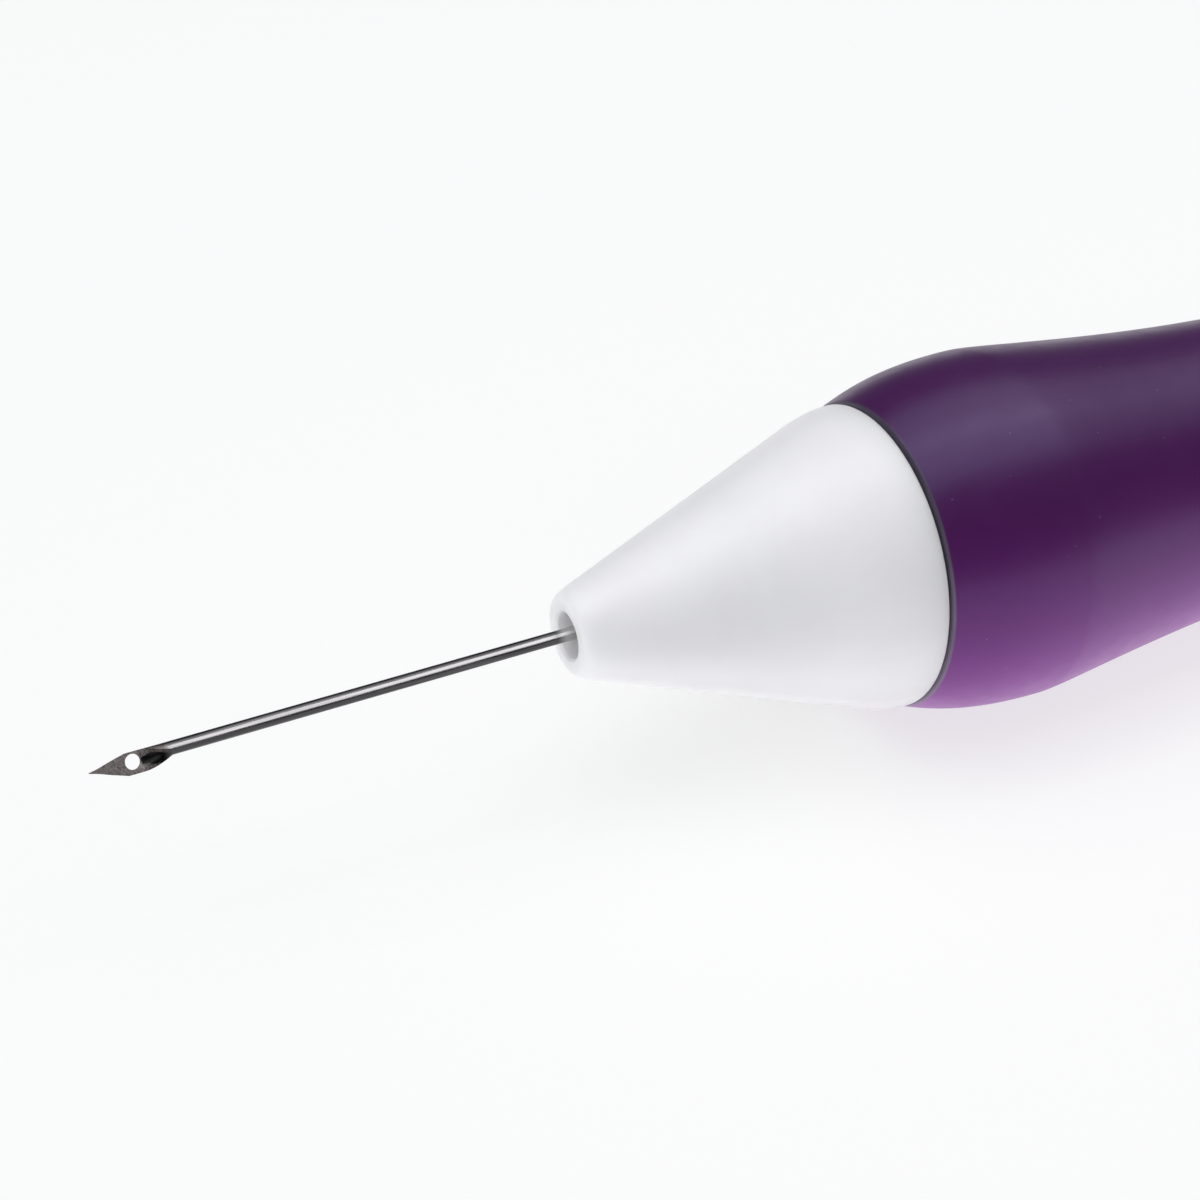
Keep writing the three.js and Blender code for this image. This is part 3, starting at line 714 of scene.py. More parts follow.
def nose():
    """White nose cone with its hollow, a threaded spigot and a ring groove."""
    groove_bottom = half_height("nose_o_ring") - NOSE_RING_WIRE - GROOVE_GAP
    shoulder = SEAM - BAND_LENGTH
    slope = (CONE_END - NOSE_LINE) / shoulder
    edge = 2 * NOSE_EDGE
    bend = BAND_LENGTH / 2
    thread_front = SEAM + THREAD_MARGIN
    thread_rear = span("nose_o_ring")[0] - THREAD_MARGIN
    outline = [(0, NOSE_BORE + NOSE_LIP), (0, NOSE_FACE)]
    outline += quadratic((0, NOSE_FACE), (0, NOSE_LINE), (edge, NOSE_LINE + slope * edge), 10)
    turn = (shoulder + bend / 2, CONE_END + slope * bend / 4)
    end = (SEAM - SEAM_EDGE, SEAM_RADIUS)
    lip = SEAM + SEAM_LIP
    straight = [(x, NOSE_LINE + slope * x) for x in spaced(edge, shoulder - bend, 8)[1:]]
    outline += straight
    outline += quadratic(straight[-1], turn, end, 10)
    outline += quadratic(end, (lip, SEAM_RADIUS), (lip, SEAM_RADIUS - SEAM_CORNER), 5)
    outline += [(lip, CORE_RADIUS + LIP_EDGE), (SEAM, CORE_RADIUS + LIP_ROOT), (SEAM, SPIGOT_RADIUS)]
    outline += [(x, SPIGOT_RADIUS) for x in spaced(thread_front, thread_rear, 36)]
    outline += rounded(groove("nose_o_ring", SPIGOT_RADIUS, groove_bottom))
    outline += [
        (SPIGOT_REAR - SPIGOT_CHAMFER, SPIGOT_RADIUS),
        (SPIGOT_REAR, SPIGOT_RADIUS - SPIGOT_CHAMFER),
        (SPIGOT_REAR, CAVITY_RADIUS),
        (CAVITY_START, CAVITY_RADIUS),
        (NOSE_BORE_LENGTH, NOSE_BORE),
        (NOSE_LIP, NOSE_BORE),
    ]
    ridge = thread(thread_front, thread_rear, SPIGOT_RADIUS, NOSE_THREAD)
    return smooth(lathe("nose", outline, segments=256, shape=ridge), angle=24)


def core():
    """Rigid core: threaded socket in front, plain bore, and a collar at the tail with the ball's hole."""
    thread_front = CORE_FRONT + CORE_THREAD_START
    thread_rear = CORE_FRONT + CORE_THREAD_END
    outline = [(x, SOCKET_RADIUS) for x in (CORE_FRONT, *spaced(thread_front, thread_rear, 40), LEDGE)]
    outline += rounded([
        (LEDGE, CORE_BORE, TINY),
        *groove("retaining_ring", CORE_BORE, SNAP_OUTER + GAP),
        (CORE_REAR, CORE_BORE, MEDIUM),
        (CORE_REAR, GRIP_END_RADIUS, COLLAR_EDGE),
        (COLLAR_FRONT, GRIP_END_RADIUS, LARGE),
        (COLLAR_FRONT, CORE_RADIUS, SHARP),
        (CORE_FRONT, CORE_RADIUS, SMALL),
    ])
    ridge = thread(thread_front, thread_rear, SOCKET_RADIUS, -CORE_THREAD)
    thing = lathe("handle_core", outline, segments=192, shape=ridge)
    hole_ends = (CORE_REAR - BALL_HOLE_DEPTH, CORE_REAR + OVERSHOOT)
    combine(thing, loft("hole", [disc(x, BALL_HOLE, 0, BALL_CIRCLE, segments=64) for x in hole_ends]))
    return smooth(thing, angle=24)


def index_mark():
    """A slim wedge on top of the collar that points at the dial's numbers."""
    front = CORE_REAR - MARK_START
    rear = CORE_REAR - MARK_END
    wide = rear - MARK_POINT
    corners = [
        (front, MARK_HALF_TAIL),
        (wide, MARK_HALF_WIDTH),
        (rear, 0),
        (wide, -MARK_HALF_WIDTH),
        (front, -MARK_HALF_TAIL),
    ]
    heights = (GRIP_END_RADIUS - MARK_DEPTH, GRIP_END_RADIUS + MARK_HEIGHT)
    return loft("index_mark", [[(x, y, height) for x, y in corners] for height in heights])


def grip():
    """Purple soft grip: hump, waist and swell."""
    edge = GRIP_FRONT + GRIP_EDGE
    edge_radius = FRONT_RADIUS + GRIP_EDGE * FRONT_SLOPE
    hump = GRIP_FRONT + HUMP_SETBACK
    waist = GRIP_FRONT + WAIST_SETBACK
    rise = HUMP_SETBACK / 4
    bore = CORE_RADIUS + GRIP_BORE_GAP
    front = GRIP_FRONT - SEAM_LIP
    start = (front, FRONT_RADIUS - GRIP_EDGE)
    first = (edge, edge_radius)
    top = (hump, HUMP_RADIUS)
    bottom = (waist, WAIST_RADIUS)
    last = (GRIP_REAR - GRIP_EDGE, GRIP_END_RADIUS)
    outline = [(front, bore), start]
    outline += quadratic(start, (front, FRONT_RADIUS), first, 8)
    leaving = (edge + rise, edge_radius + rise * FRONT_SLOPE)
    outline += cubic(first, leaving, (hump - HUMP_RISE, HUMP_RADIUS), top, 24)
    outline += cubic(top, (hump + HUMP_FALL, HUMP_RADIUS), (waist - WAIST_FALL, WAIST_RADIUS), bottom, 48)
    swelling = (GRIP_REAR - GRIP_END_RISE, GRIP_END_RADIUS)
    outline += cubic(bottom, (waist + WAIST_RISE, WAIST_RADIUS), swelling, last, 48)
    outline += quadratic(last, (GRIP_REAR, GRIP_END_RADIUS), (GRIP_REAR, GRIP_END_RADIUS - GRIP_EDGE), 6)
    outline += [(GRIP_REAR, bore)]
    return smooth(lathe("grip", outline, segments=256), angle=24)


def snap_ring():
    """Open ring with chamfered edges, sprung into the core's groove."""
    front, rear = span("retaining_ring")
    middle = (SNAP_INNER + SNAP_OUTER) / 2
    half_wall = (SNAP_OUTER - SNAP_INNER) / 2
    half_depth = (rear - front) / 2
    section = []
    for side_a, side_b in ((1, 1), (-1, 1), (-1, -1), (1, -1)):
        corner = [(half_wall, half_depth - SNAP_EDGE), (half_wall - SNAP_EDGE, half_depth)]
        if side_a * side_b < 0:
            corner.reverse()
        section += [(side_a * a, side_b * b) for a, b in corner]
    half = radians(SNAP_OPENING / 2)
    centres = []
    for angle in spaced(half, 2 * pi - half, 120):
        outward = Vector((0, sin(angle), -cos(angle)))
        centres.append((Vector(((front + rear) / 2, 0, 0)) + outward * middle, outward, ALONG))
    return smooth(sweep("snap_ring", centres, section))


def click_ball():
    """Ball that clicks into the dial's dimples."""
    front, rear = span("detent_ball")
    middle = (front + rear) / 2
    rings = []
    for tilt in spaced(BALL_POLE, pi - BALL_POLE, 32):
        x = middle - BALL_RADIUS * cos(tilt)
        rings.append(disc(x, BALL_RADIUS * sin(tilt), 0, BALL_CIRCLE, segments=48))
    return smooth(loft("click_ball", rings), angle=60)


def click_spring():
    """Coil spring behind the ball, with a flat turn at each end."""
    front, rear = span("detent_spring")
    half = SPRING_WIRE / 2
    coil = BALL_RADIUS - SPRING_WIRE
    steps = 40
    centres = []
    for i in range(steps * (SPRING_TURNS + 2) + 1):
        turned = i / steps
        rise = clamped((turned - 1) / SPRING_TURNS)
        flat_turn = SPRING_WIRE * clamped(turned) - SPRING_WIRE
        flat_end = SPRING_WIRE * clamped(turned - 1 - SPRING_TURNS)
        place = mixed(front + half + SPRING_WIRE, rear - half - SPRING_WIRE, rise) + flat_turn + flat_end
        angle = 2 * pi * turned
        outward = Vector((0, cos(angle), sin(angle)))
        centres.append((Vector((place, 0, BALL_CIRCLE)) + outward * coil, outward, ALONG))
    section = [(half * cos(a), half * sin(a)) for a in circle(12)]
    return smooth(sweep("click_spring", centres, section), angle=60)


def flute_cut(x, angle):
    """Radius left by the nearest flute, a long ball-ended scoop: larger than the dial where it misses."""
    bottom = FLUTE_RADIUS - FLUTE_DEPTH
    front = BAND_REAR + sqrt(FLUTE_RADIUS ** 2 - (bottom + BAND_STEP) ** 2)
    ahead = max(0, front - x)
    spread = 2 * pi / SETTINGS
    aside = (angle + spread / 2) % spread - spread / 2
    centre = DIAL_RADIUS + bottom
    inside = FLUTE_RADIUS ** 2 - ahead ** 2 - (centre * sin(aside)) ** 2
    if inside <= 0:
        return 2 * DIAL_RADIUS
    return centre * cos(aside) - sqrt(inside)


def dimple(turned):
    """A cutter for one round dimple of the click ball in the dial's front."""
    mouth = sqrt(BALL_RADIUS ** 2 - (BALL_RADIUS - DIMPLE_DEPTH) ** 2)
    left = BALL_CIRCLE * cos(turned)
    height = BALL_CIRCLE * sin(turned)
    sections = [(DIAL_FRONT - DIMPLE_LEAD, mouth)]
    sections += [(DIAL_FRONT + DIMPLE_DEPTH * deep, mouth * wide) for deep, wide in DIMPLE_CURVE]
    return loft("dimple", [disc(x, radius, left, height, segments=24) for x, radius in sections])


def dial():
    """Fluted dial with a number band in front, and a keyed socket inside."""
    socket = NECK_RADIUS + GAP
    socket_end = SLEEVE_REAR + GAP
    recess = DIAL_REAR - CAP_RECESS_DEPTH
    band = DIAL_RADIUS - BAND_STEP
    face = GRIP_END_RADIUS - GAP
    outer = [(DIAL_FRONT, face)]
    outer += quadratic(outer[-1], (DIAL_FRONT, band), (DIAL_FRONT + 2 * DIAL_EDGE, band), 8)
    outer += [(x, band) for x in spaced(DIAL_FRONT + 2 * DIAL_EDGE, BAND_REAR, 8)[1:]]
    outer += quadratic((BAND_REAR, band), (BAND_REAR, DIAL_RADIUS), (BAND_REAR + BAND_STEP, DIAL_RADIUS), 6)
    straight_end = DIAL_REAR - 2 * DIAL_EDGE
    outer += [(x, DIAL_RADIUS) for x in spaced(BAND_REAR + BAND_STEP, straight_end, 40)[1:]]
    shoulder = (DIAL_REAR, DIAL_RADIUS - DIAL_SHOULDER)
    outer += quadratic((straight_end, DIAL_RADIUS), (DIAL_REAR, DIAL_RADIUS), shoulder, 10)
    inner = [
        (DIAL_REAR, CAP_RECESS),
        (recess, CAP_RECESS),
        (recess, DIAL_BORE),
        (socket_end, DIAL_BORE),
        (socket_end, socket),
        (DIAL_FRONT, socket),
    ]

    def fluted(x, r, angle):
        if r < face or x < BAND_REAR:
            return r
        cut = flute_cut(x, angle)
        blend = clamped(0.5 + (cut - r) / (2 * FLUTE_EDGE))
        return mixed(cut, r, blend) - FLUTE_EDGE * blend * (1 - blend)

    thing = lathe("dial", outer + inner, segments=480, shape=fluted)
    half_width = KEY_WIDTH / 2 + GAP / 2
    key_top = socket + KEY_HEIGHT
    slot_front = DIAL_FRONT - OVERSHOOT
    combine(thing, key_block("key_slot", slot_front, socket_end, half_width, DIAL_BORE, key_top))
    for turned in circle(SETTINGS):
        combine(thing, dimple(turned))
    return smooth(thing, angle=24)


def number(value, turned):
    """One raised number, wrapped on the number band with its head towards the nose."""
    curve = bpy.data.curves.new("number", "FONT")
    curve.body = str(value)
    curve.size = NUMBER_HEIGHT * FONT_SIZE_PER_HEIGHT
    curve.align_x = "CENTER"
    curve.align_y = "CENTER"
    curve.extrude = NUMBER_DEPTH
    curve.resolution_u = 6
    mesh = settled(add("number", curve))
    bpy.data.curves.remove(curve)
    middle = (DIAL_FRONT + DIAL_EDGE + BAND_REAR) / 2
    band = DIAL_RADIUS - BAND_STEP
    for vertex in mesh.vertices:
        across, upward, height = vertex.co
        angle = turned - across / band
        reach = band + height
        place = middle - upward
        vertex.co = ORIGIN + Vector((place, reach * cos(angle), reach * sin(angle))) * MM
    return mesh


def numbers():
    """The numbers 1 to 12 round the dial: the highest stands at the mark when the needle is right out."""
    joined = bmesh.new()
    for i, turned in enumerate(circle(SETTINGS)):
        mesh = number(SETTINGS - i, pi / 2 - turned)
        joined.from_mesh(mesh)
        bpy.data.meshes.remove(mesh)
    mesh = bpy.data.meshes.new("numbers")
    joined.to_mesh(mesh)
    joined.free()
    return add("numbers", mesh)


def tail_cap():
    """Purple cap with a funnel for the yarn."""
    seat = YARN_TUBE_RADIUS + SEAT_GAP
    seat_rear = CAP_FRONT + YARN_TUBE_SEAT
    flange_front = DIAL_REAR + GAP
    edge = (CAP_REAR - CAP_EDGE, CAP_FLANGE)
    shoulder = (CAP_REAR, CAP_FLANGE - CAP_SHOULDER)
    mouth = (CAP_REAR, FUNNEL_MOUTH + FUNNEL_LIP)
    rim = (CAP_REAR - FUNNEL_RIM_DEPTH, FUNNEL_MOUTH - FUNNEL_RIM_WIDTH)
    throat = (CAP_REAR - FUNNEL_DEPTH, YARN_TUBE_BORE)
    narrowing = (CAP_REAR - FUNNEL_DEPTH + THROAT_LENGTH, YARN_TUBE_BORE + THROAT_FLARE)
    outline = rounded([
        (CAP_FRONT, seat, SHARP),
        (CAP_FRONT, CAP_PLUG, LARGE),
        (flange_front, CAP_PLUG, SHARP),
        (flange_front, CAP_FLANGE, MEDIUM),
    ])
    outline += quadratic(edge, (CAP_REAR, CAP_FLANGE), shoulder, 10)
    outline += [mouth]
    outline += quadratic(mouth, (CAP_REAR, FUNNEL_MOUTH), rim, 5)
    outline += quadratic(rim, narrowing, throat, 12)
    outline += [(seat_rear, YARN_TUBE_BORE), (seat_rear, seat)]
    return smooth(lathe("tail_cap", outline), angle=24)


def yarn_tube():
    """Thin tube that leads the yarn from the funnel into the carrier."""
    outline = tube_outline(*span("yarn_guide_tube"), YARN_TUBE_BORE, YARN_TUBE_RADIUS, YARN_TUBE_EDGE)
    return smooth(lathe("yarn_tube", outline, segments=64))


def washer():
    """Flat ring in front of the sleeve."""
    outline = tube_outline(*span("thrust_washer"), SLEEVE_BORE, SLEEVE_OUTSIDE, WASHER_EDGE)
    return smooth(lathe("washer", outline))


# Materials

# Stretches over which two finishes of a piece fade into each other
GROUND_FADE = 0.6
# Fades at the edges of the painted shade in the needle's open bore
MOUTH_FADE = 0.06
EYE_FADE = (-0.05, 0.15)
# Painted reflection: where the needle runs in the nose's hole its steel is painted paler, standing in for
# the white hole shining in it
REFLECTION_FRONT = (-0.9, 0.1)
REFLECTION_REAR = (6, 3)
# Painted reflection: the grip's front edge is painted paler, standing in for the white cone shining in it
CONE_REFLECTION_EDGE = (0.8 * GRIP_EDGE, 0.2 * GRIP_EDGE)
SPECK_SPACING = 1.5


class Finish:
    """A material whose nodes are added one by one."""

    def __init__(self, name, **settings):
        self.material = bpy.data.materials.new(name)
        self.material.use_nodes = True
        self.tree = self.material.node_tree
        self.shader = self.tree.nodes["Principled BSDF"]
        for socket, value in settings.items():
            self.shader.inputs[socket.replace("_", " ")].default_value = value

    def node(self, kind, **inputs):
        """A node whose inputs are values or the outputs of other nodes."""
        made = self.tree.nodes.new("ShaderNode" + kind)
        for name, value in inputs.items():
            socket = made.inputs[name.replace("_", " ")]
            if isinstance(value, bpy.types.NodeSocket):
                self.tree.links.new(value, socket)
            else:
                socket.default_value = value
        return made

    def link(self, output, socket):
        """Leads an output into the shader."""
        self.tree.links.new(output, self.shader.inputs[socket])

    def place(self):
        """Position on the piece, in metres, which stays with the piece as it moves."""
        return self.node("TexCoord").outputs["Object"]

    def noise(self, size, detail=4, stretch=(1, 1, 1)):
        """Noise with features of about size, in millimetres, drawn out where stretch is below 1."""
        place = self.node("Mapping", Vector=self.place(), Scale=stretch).outputs["Vector"]
        return self.node("TexNoise", Vector=place, Scale=1 / (size * MM), Detail=detail).outputs["Fac"]

    def combined(self, operation, first, second):
        """Two values in one, by an operation of the Math node."""
        made = self.node("Math")
        made.operation = operation
        self.tree.links.new(first, made.inputs[0])
        self.tree.links.new(second, made.inputs[1])
        return made.outputs["Value"]

    def length(self, vector):
        """How long a vector is."""
        made = self.node("VectorMath", Vector=vector)
        made.operation = "LENGTH"
        return made.outputs["Value"]

    def graded(self, value, start, end, low=0, high=1, curve="SMOOTHSTEP"):
        """Low where a value is at start, high where it is at end, and no further beyond them."""
        made = self.node("MapRange", Value=value, From_Min=start, From_Max=end, To_Min=low, To_Max=high)
        made.interpolation_type = curve
        return made.outputs["Result"]

    def along(self, start, end):
        """0 at start and 1 at end, both places along the tool."""
        x = self.node("SeparateXYZ", Vector=self.place()).outputs["X"]
        return self.graded(x, ORIGIN.x + start * MM, ORIGIN.x + end * MM)

    def near(self, line, inner, outer):
        """1 within inner of a line along the tool, 0 beyond outer: the line is (left, up) from the axis."""
        side, height = line
        centre = Vector((0, ORIGIN.y + side * MM, ORIGIN.z + height * MM))
        offset = self.node("Mapping", Vector=self.place(), Location=-centre, Scale=(0, 1, 1))
        away = self.length(offset.outputs["Vector"])
        return self.graded(away, outer * MM, inner * MM, curve="LINEAR")

    def ramp(self, value, *stops):
        """A colour or grey that runs through (position, colour) stops."""
        made = self.node("ValToRGB", Fac=value)
        points = made.color_ramp.elements
        while len(points) < len(stops):
            points.new(0.5)
        for point, (position, colour) in zip(points, stops):
            point.position = position
            point.color = (*colour, 1) if isinstance(colour, tuple) else (colour, colour, colour, 1)
        return made.outputs["Color"]

    def mottled(self, noise, low, high):
        """A colour or grey that wanders from low to high with the noise."""
        return self.ramp(noise, (0.3, low), (0.7, high))

    def blend(self, share, first, second):
        """First where share is 0, second where it is 1."""
        made = self.node("Mix")
        made.data_type = "RGBA"
        sockets = [s for s in made.inputs if s.type == "RGBA"]
        self.tree.links.new(share, made.inputs["Factor"])
        self.tree.links.new(first, sockets[0])
        self.tree.links.new(second, sockets[1])
        return [s for s in made.outputs if s.type == "RGBA"][0]

    def bump(self, height, strength, distance):
        """Relief of a depth in millimetres."""
        made = self.node("Bump", Height=height, Strength=strength, Distance=distance * MM)
        self.link(made.outputs["Normal"], "Normal")


def plastic(name, dark, light, roughness, grain, **settings):
    """A moulded plastic or rubber: mottled tone, uneven gloss and fine grain."""
    finish = Finish(name, **settings)
    finish.link(finish.mottled(finish.noise(9, detail=3), dark, light), "Base Color")
    finish.link(finish.mottled(finish.noise(1.6), *roughness), "Roughness")
    finish.bump(finish.noise(grain, detail=5), strength=0.2, distance=grain / 12)
    return finish.material


def soft_touch():
    """Dark purple soft-touch rubber, with a bluish sheen, fine grain, a few specks of dust, and a painted
    reflection of the white cone along its front edge.
    """
    finish = Finish(
        "soft_touch_purple", IOR=1.55, Specular_Tint=(0.6, 0.66, 1, 1),
        Sheen_Weight=0.04, Sheen_Roughness=0.6, Sheen_Tint=(0.85, 0.75, 1, 1),
    )
    tone = finish.mottled(finish.noise(9, detail=3), (0.054, 0.0026, 0.064), (0.061, 0.0034, 0.073))
    cells = finish.node("TexVoronoi", Vector=finish.place(), Scale=1 / (SPECK_SPACING * MM))
    specks = cells.outputs["Distance"]
    share = finish.ramp(specks, (0.02, 0.35), (0.05, 0.0))
    dust = finish.ramp(specks, (0, (0.3, 0.25, 0.32)), (1, (0.35, 0.3, 0.37)))
    # Paler grey-purple painted on the grip's front edge: a painted reflection of the white cone
    painted_cone_reflection = finish.ramp(specks, (0, (0.06, 0.045, 0.066)), (1, (0.085, 0.065, 0.092)))
    front_edge = finish.along(*(GRIP_FRONT + setback for setback in CONE_REFLECTION_EDGE))
    finish.link(finish.blend(front_edge, finish.blend(share, tone, dust), painted_cone_reflection), "Base Color")
    finish.link(finish.mottled(finish.noise(1.4), 0.31, 0.37), "Roughness")
    finish.bump(finish.noise(0.12, detail=6), strength=0.25, distance=0.015)
    return finish.material


def needle_steel():
    """Dark drawn steel: streaks on the tube, a ground head, a bore painted very dark as its shade, and a
    pale painted reflection of the nose's white hole where it runs in the nose.
    """
    finish = Finish("needle_steel", Metallic=1.0)
    streaks = finish.noise(0.2, detail=5, stretch=(0.03, 1, 1))
    mottle = finish.noise(0.12, detail=5)
    head_rear = NEEDLE_FRONT + HEAD_LENGTH
    ground = finish.along(head_rear, head_rear - GROUND_FADE)
    # Paler steel painted where the needle runs in the nose: a painted reflection of the white hole around
    # it
    painted_reflection_share = finish.combined("MULTIPLY", finish.along(*REFLECTION_FRONT), finish.along(*REFLECTION_REAR))
    # Painted shade: the open bore behind the eye is coloured very dark, as its inside lies in shade
    middle = OPEN_SIDE * (MOUTH_SIDESTEP * pressing(EYE_SETBACK + EYE_LENGTH))
    lowered = needle_line(NEEDLE_FRONT + MOUTH_END)
    mouth = finish.near((middle.y, middle.z + lowered), MOUTH_WIDTH / 2 - MOUTH_FADE, MOUTH_WIDTH / 2)
    eye_rear = NEEDLE_FRONT + EYE_SETBACK + EYE_LENGTH / 2
    behind_eye = finish.along(*(eye_rear + setback for setback in EYE_FADE))
    bore = finish.combined("MULTIPLY", mouth, behind_eye)
    drawn = finish.mottled(streaks, (0.06, 0.058, 0.06), (0.1, 0.097, 0.1))
    rough_cut = finish.ramp(mottle, (0.35, (0.024, 0.022, 0.022)), (0.65, (0.062, 0.055, 0.054)))
    # The paler steel of that painted reflection
    painted_reflection = finish.mottled(streaks, 0.5, 0.6)
    # The very dark colour of the painted shade in the bore
    painted_bore_shade = finish.ramp(mottle, (0.35, 0.002), (0.65, 0.006))
    head = finish.blend(bore, rough_cut, painted_bore_shade)
    finish.link(finish.blend(painted_reflection_share, finish.blend(ground, drawn, head), painted_reflection), "Base Color")
    tube_gloss = finish.mottled(streaks, 0.22, 0.32)
    head_gloss = finish.mottled(mottle, 0.35, 0.6)
    finish.link(finish.blend(ground, tube_gloss, head_gloss), "Roughness")
    finish.bump(finish.blend(ground, streaks, mottle), strength=0.15, distance=0.006)
    return finish.material


def metal(name, dark, light, stretch):
    """Turned or drawn metal with fine streaks."""
    finish = Finish(name, Metallic=1.0)
    streaks = finish.noise(0.25, detail=5, stretch=stretch)
    finish.link(finish.mottled(streaks, dark, light), "Base Color")
    finish.link(finish.mottled(streaks, 0.2, 0.34), "Roughness")
    finish.bump(streaks, strength=0.15, distance=0.006)
    return finish.material


def floor_finish():
    """Pale floor with the tool's shadow.

    To the camera and in reflections it is nearly white by its own light, and quite white far away.
    """
    finish = Finish("floor")
    tree = finish.tree
    tree.nodes.remove(finish.shader)
    lit = finish.node("BsdfDiffuse", Color=WHITE)
    white = finish.node("Emission", Color=WHITE, Strength=1)
    path = finish.node("LightPath").outputs
    seen = path["Is Camera Ray"]
    for ray in ("Is Glossy Ray", "Is Transmission Ray"):
        seen = finish.combined("MAXIMUM", seen, path[ray])
    lift = finish.graded(finish.length(finish.place()), *FLOOR_FADE, low=FLOOR_LIFT)
    mix = finish.node("MixShader", Fac=finish.combined("MULTIPLY", seen, lift))
    tree.links.new(lit.outputs[0], mix.inputs[1])
    tree.links.new(white.outputs[0], mix.inputs[2])
    tree.links.new(mix.outputs[0], tree.nodes["Material Output"].inputs["Surface"])
    return finish.material


# Pieces, their bodies, finishes, slots and the CAD nodes that they stand for

TRANSLUCENT = {
    "Subsurface_Weight": 0.6,
    "Subsurface_Scale": 3 * MM,
    "Subsurface_Radius": (1, 1, 1),
    "IOR": 1.48,
}
FINISHES = {
    "needle_steel": needle_steel(),
    "spring_steel": metal("spring_steel", (0.42, 0.42, 0.43), (0.56, 0.56, 0.57), (1, 1, 1)),
    "hub_brass": metal("brass", (0.55, 0.40, 0.17), (0.70, 0.54, 0.26), (1, 0.1, 0.1)),
    "ring_rubber": plastic("black_rubber", (0.016, 0.016, 0.017), (0.03, 0.03, 0.032), (0.5, 0.65), 0.15),
    "natural_plastic": plastic(
        "natural_acetal", (0.66, 0.64, 0.57), (0.74, 0.72, 0.66), (0.38, 0.48), 0.3, **TRANSLUCENT,
    ),
    "grey_plastic": plastic("grey_plastic", (0.22, 0.225, 0.235), (0.29, 0.295, 0.305), (0.4, 0.5), 0.3),
    "white_plastic": plastic(
        "white_plastic", (0.80, 0.785, 0.795), (0.85, 0.84, 0.845), (0.34, 0.42), 0.3, **TRANSLUCENT,
    ),
    "purple_rubber": soft_touch(),
    "purple_plastic": plastic(
        "purple_plastic", (0.075, 0.008, 0.095), (0.09, 0.012, 0.115), (0.28, 0.36), 0.3,
    ),
}


def dress(piece, body, slot, *nodes):
    """Gives a piece the finish of its slot and its body, and hides the CAD nodes that it stands for."""
    piece.data.materials.clear()
    piece.data.materials.append(FINISHES[slot])
    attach(piece, body)
    if nodes:
        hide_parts(*nodes)


dress(needle(), "needle", "needle_steel", "needle_tube")
dress(ferrule(), "needle", "hub_brass", "needle_hub")
dress(ring_of("ferrule_ring", "hub_o_ring", FERRULE_RING_WIRE), "carriage", "ring_rubber", "hub_o_ring")
dress(carrier(), "carriage", "natural_plastic", "carriage_tube")
dress(pin(1, "left_pin"), "carriage", "spring_steel", "follower_pin_left")
dress(pin(-1, "right_pin"), "carriage", "spring_steel", "follower_pin_right")
dress(guide_barrel(), "handle", "grey_plastic", "guide_barrel")
dress(washer(), "handle", "grey_plastic", "thrust_washer")
dress(turning_sleeve(), "dial", "natural_plastic", "cam_sleeve")
dress(ring_of("sleeve_ring", "sleeve_o_ring", SLEEVE_RING_WIRE), "dial", "ring_rubber", "sleeve_o_ring")
dress(nose(), "nose", "white_plastic", "nose_cone")
dress(ring_of("nose_ring", "nose_o_ring", NOSE_RING_WIRE), "nose", "ring_rubber", "nose_o_ring")
dress(core(), "handle", "white_plastic", "core_barrel")
dress(index_mark(), "handle", "purple_plastic")
dress(grip(), "handle", "purple_rubber", "soft_grip")
dress(snap_ring(), "handle", "spring_steel", "retaining_ring")
dress(click_ball(), "handle", "spring_steel", "detent_ball")
dress(click_spring(), "handle", "spring_steel", "detent_spring")
dress(dial(), "dial", "white_plastic", "depth_dial")
dress(numbers(), "dial", "purple_plastic")
dress(tail_cap(), "dial", "purple_plastic", "end_cap")
dress(yarn_tube(), "dial", "natural_plastic", "yarn_guide_tube")


# Stage

WHITE = (1, 1, 1, 1)
FLOOR_REACH = 8
FLOOR_LIFT = 0.72
FLOOR_FADE = (0.12, 0.5)
SKY = 0.1
SKY_COLOUR = (0.6, 0.75, 1, 1)
CAMERA_REACH = (0.01, 30)

# Lamps: name, azimuth, elevation, distance, size, power, whether gloss shows it, the only pieces it lights
LAMPS = (
    ("overhead", 0, 85, 0.6, (1.2, 0.4), 2.25, True, ()),
    ("back", 0, 110, 0.6, (1.2, 0.4), 1.7, True, ()),
    ("front", 0, 50, 0.6, (1.2, 0.5), 1.25, False, ()),
    ("bounce", 0, -70, 0.5, (1.2, 0.5), 3.0, True, ()),
    ("grip_bounce", 0, -72, 0.5, (1.2, 0.5), 19.0, False, ("grip",)),
    ("nose_fill", -90, 15, 0.6, (0.4, 0.4), 1.15, False, ("nose",)),
    ("needle_gleam", 0, 55, 0.6, (1.2, 0.56), 21.0, True, ("needle",)),
)


def bearing(azimuth, elevation):
    """Unit vector towards an azimuth and elevation in degrees. Azimuth 0 is the front, -Y."""
    turned = radians(azimuth)
    raised = radians(elevation)
    return Vector((sin(turned) * cos(raised), -cos(turned) * cos(raised), sin(raised)))


def floor():
    """A wide square at the height on which the tool lies."""
    corners = [(x * FLOOR_REACH, y * FLOOR_REACH, 0) for x, y in ((-1, -1), (1, -1), (1, 1), (-1, 1))]
    mesh = bpy.data.meshes.new("floor")
    mesh.from_pydata(corners, [], [(0, 1, 2, 3)])
    mesh.materials.append(floor_finish())
    plane = add("floor", mesh)
    plane.visible_shadow = False


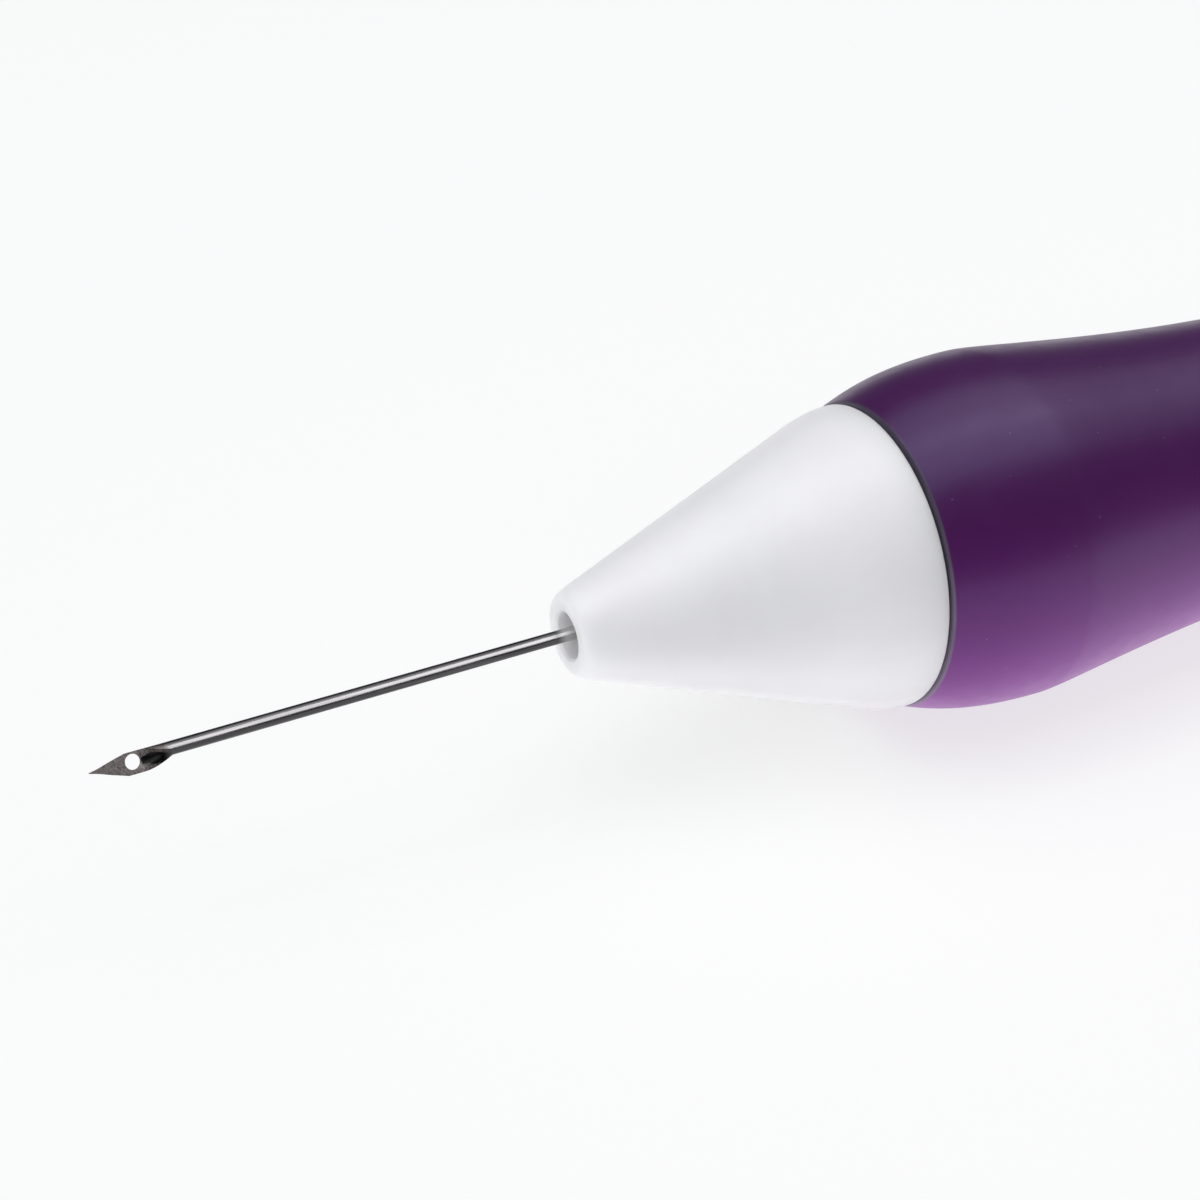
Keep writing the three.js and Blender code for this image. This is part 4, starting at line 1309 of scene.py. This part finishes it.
def softbox(name, azimuth, elevation, distance, size, power, glossy, only):
    """A rectangular lamp that faces the tool from an azimuth and elevation."""
    direction = bearing(azimuth, elevation)
    data = bpy.data.lights.new(name, "AREA")
    data.shape = "RECTANGLE"
    data.size, data.size_y = size
    data.energy = power
    lamp = add(name, data)
    lamp.location = Vector((0, 0, ORIGIN.z)) + direction * distance
    right = Matrix.Rotation(radians(azimuth), 3, "Z") @ ALONG
    lamp.rotation_euler = Matrix((right, direction.cross(right), direction)).transposed().to_euler()
    lamp.visible_glossy = glossy
    if only:
        lit = bpy.data.collections.new(name)
        for piece in only:
            lit.objects.link(bpy.data.objects[piece])
        lamp.light_linking.receiver_collection = lit


def world():
    """Soft surroundings, white where the camera sees them."""
    surroundings = bpy.data.worlds.new("studio")
    surroundings.use_nodes = True
    tree = surroundings.node_tree
    background = tree.nodes["Background"]
    path = tree.nodes.new("ShaderNodeLightPath")
    strength = tree.nodes.new("ShaderNodeMapRange")
    strength.inputs["To Min"].default_value = SKY
    strength.inputs["To Max"].default_value = 1
    tree.links.new(path.outputs["Is Camera Ray"], strength.inputs["Value"])
    tree.links.new(strength.outputs["Result"], background.inputs["Strength"])
    tint = tree.nodes.new("ShaderNodeMix")
    tint.data_type = "RGBA"
    tree.links.new(path.outputs["Is Camera Ray"], tint.inputs["Factor"])
    sky, white = [s for s in tint.inputs if s.type == "RGBA"]
    sky.default_value = SKY_COLOUR
    white.default_value = WHITE
    tree.links.new([s for s in tint.outputs if s.type == "RGBA"][0], background.inputs["Color"])
    bpy.context.scene.world = surroundings


def camera():
    """The camera of the photograph."""
    back = bearing(VIEW_AZIMUTH, VIEW_ELEVATION)
    right = bearing(VIEW_AZIMUTH + 90, 0)
    up = back.cross(right)
    data = bpy.data.cameras.new("camera")
    data.lens = FOCAL_LENGTH
    data.sensor_width = SENSOR_WIDTH
    data.clip_start, data.clip_end = CAMERA_REACH
    eye = add("camera", data)
    eye.location = ORIGIN + (back * VIEW_DISTANCE - right * NOSE_RIGHT - up * NOSE_UP) * MM
    eye.rotation_euler = Matrix((right, up, back)).transposed().to_euler()
    bpy.context.scene.camera = eye


floor()
world()
camera()
for lamp in LAMPS:
    softbox(*lamp)
bpy.context.scene.view_settings.view_transform = "Standard"
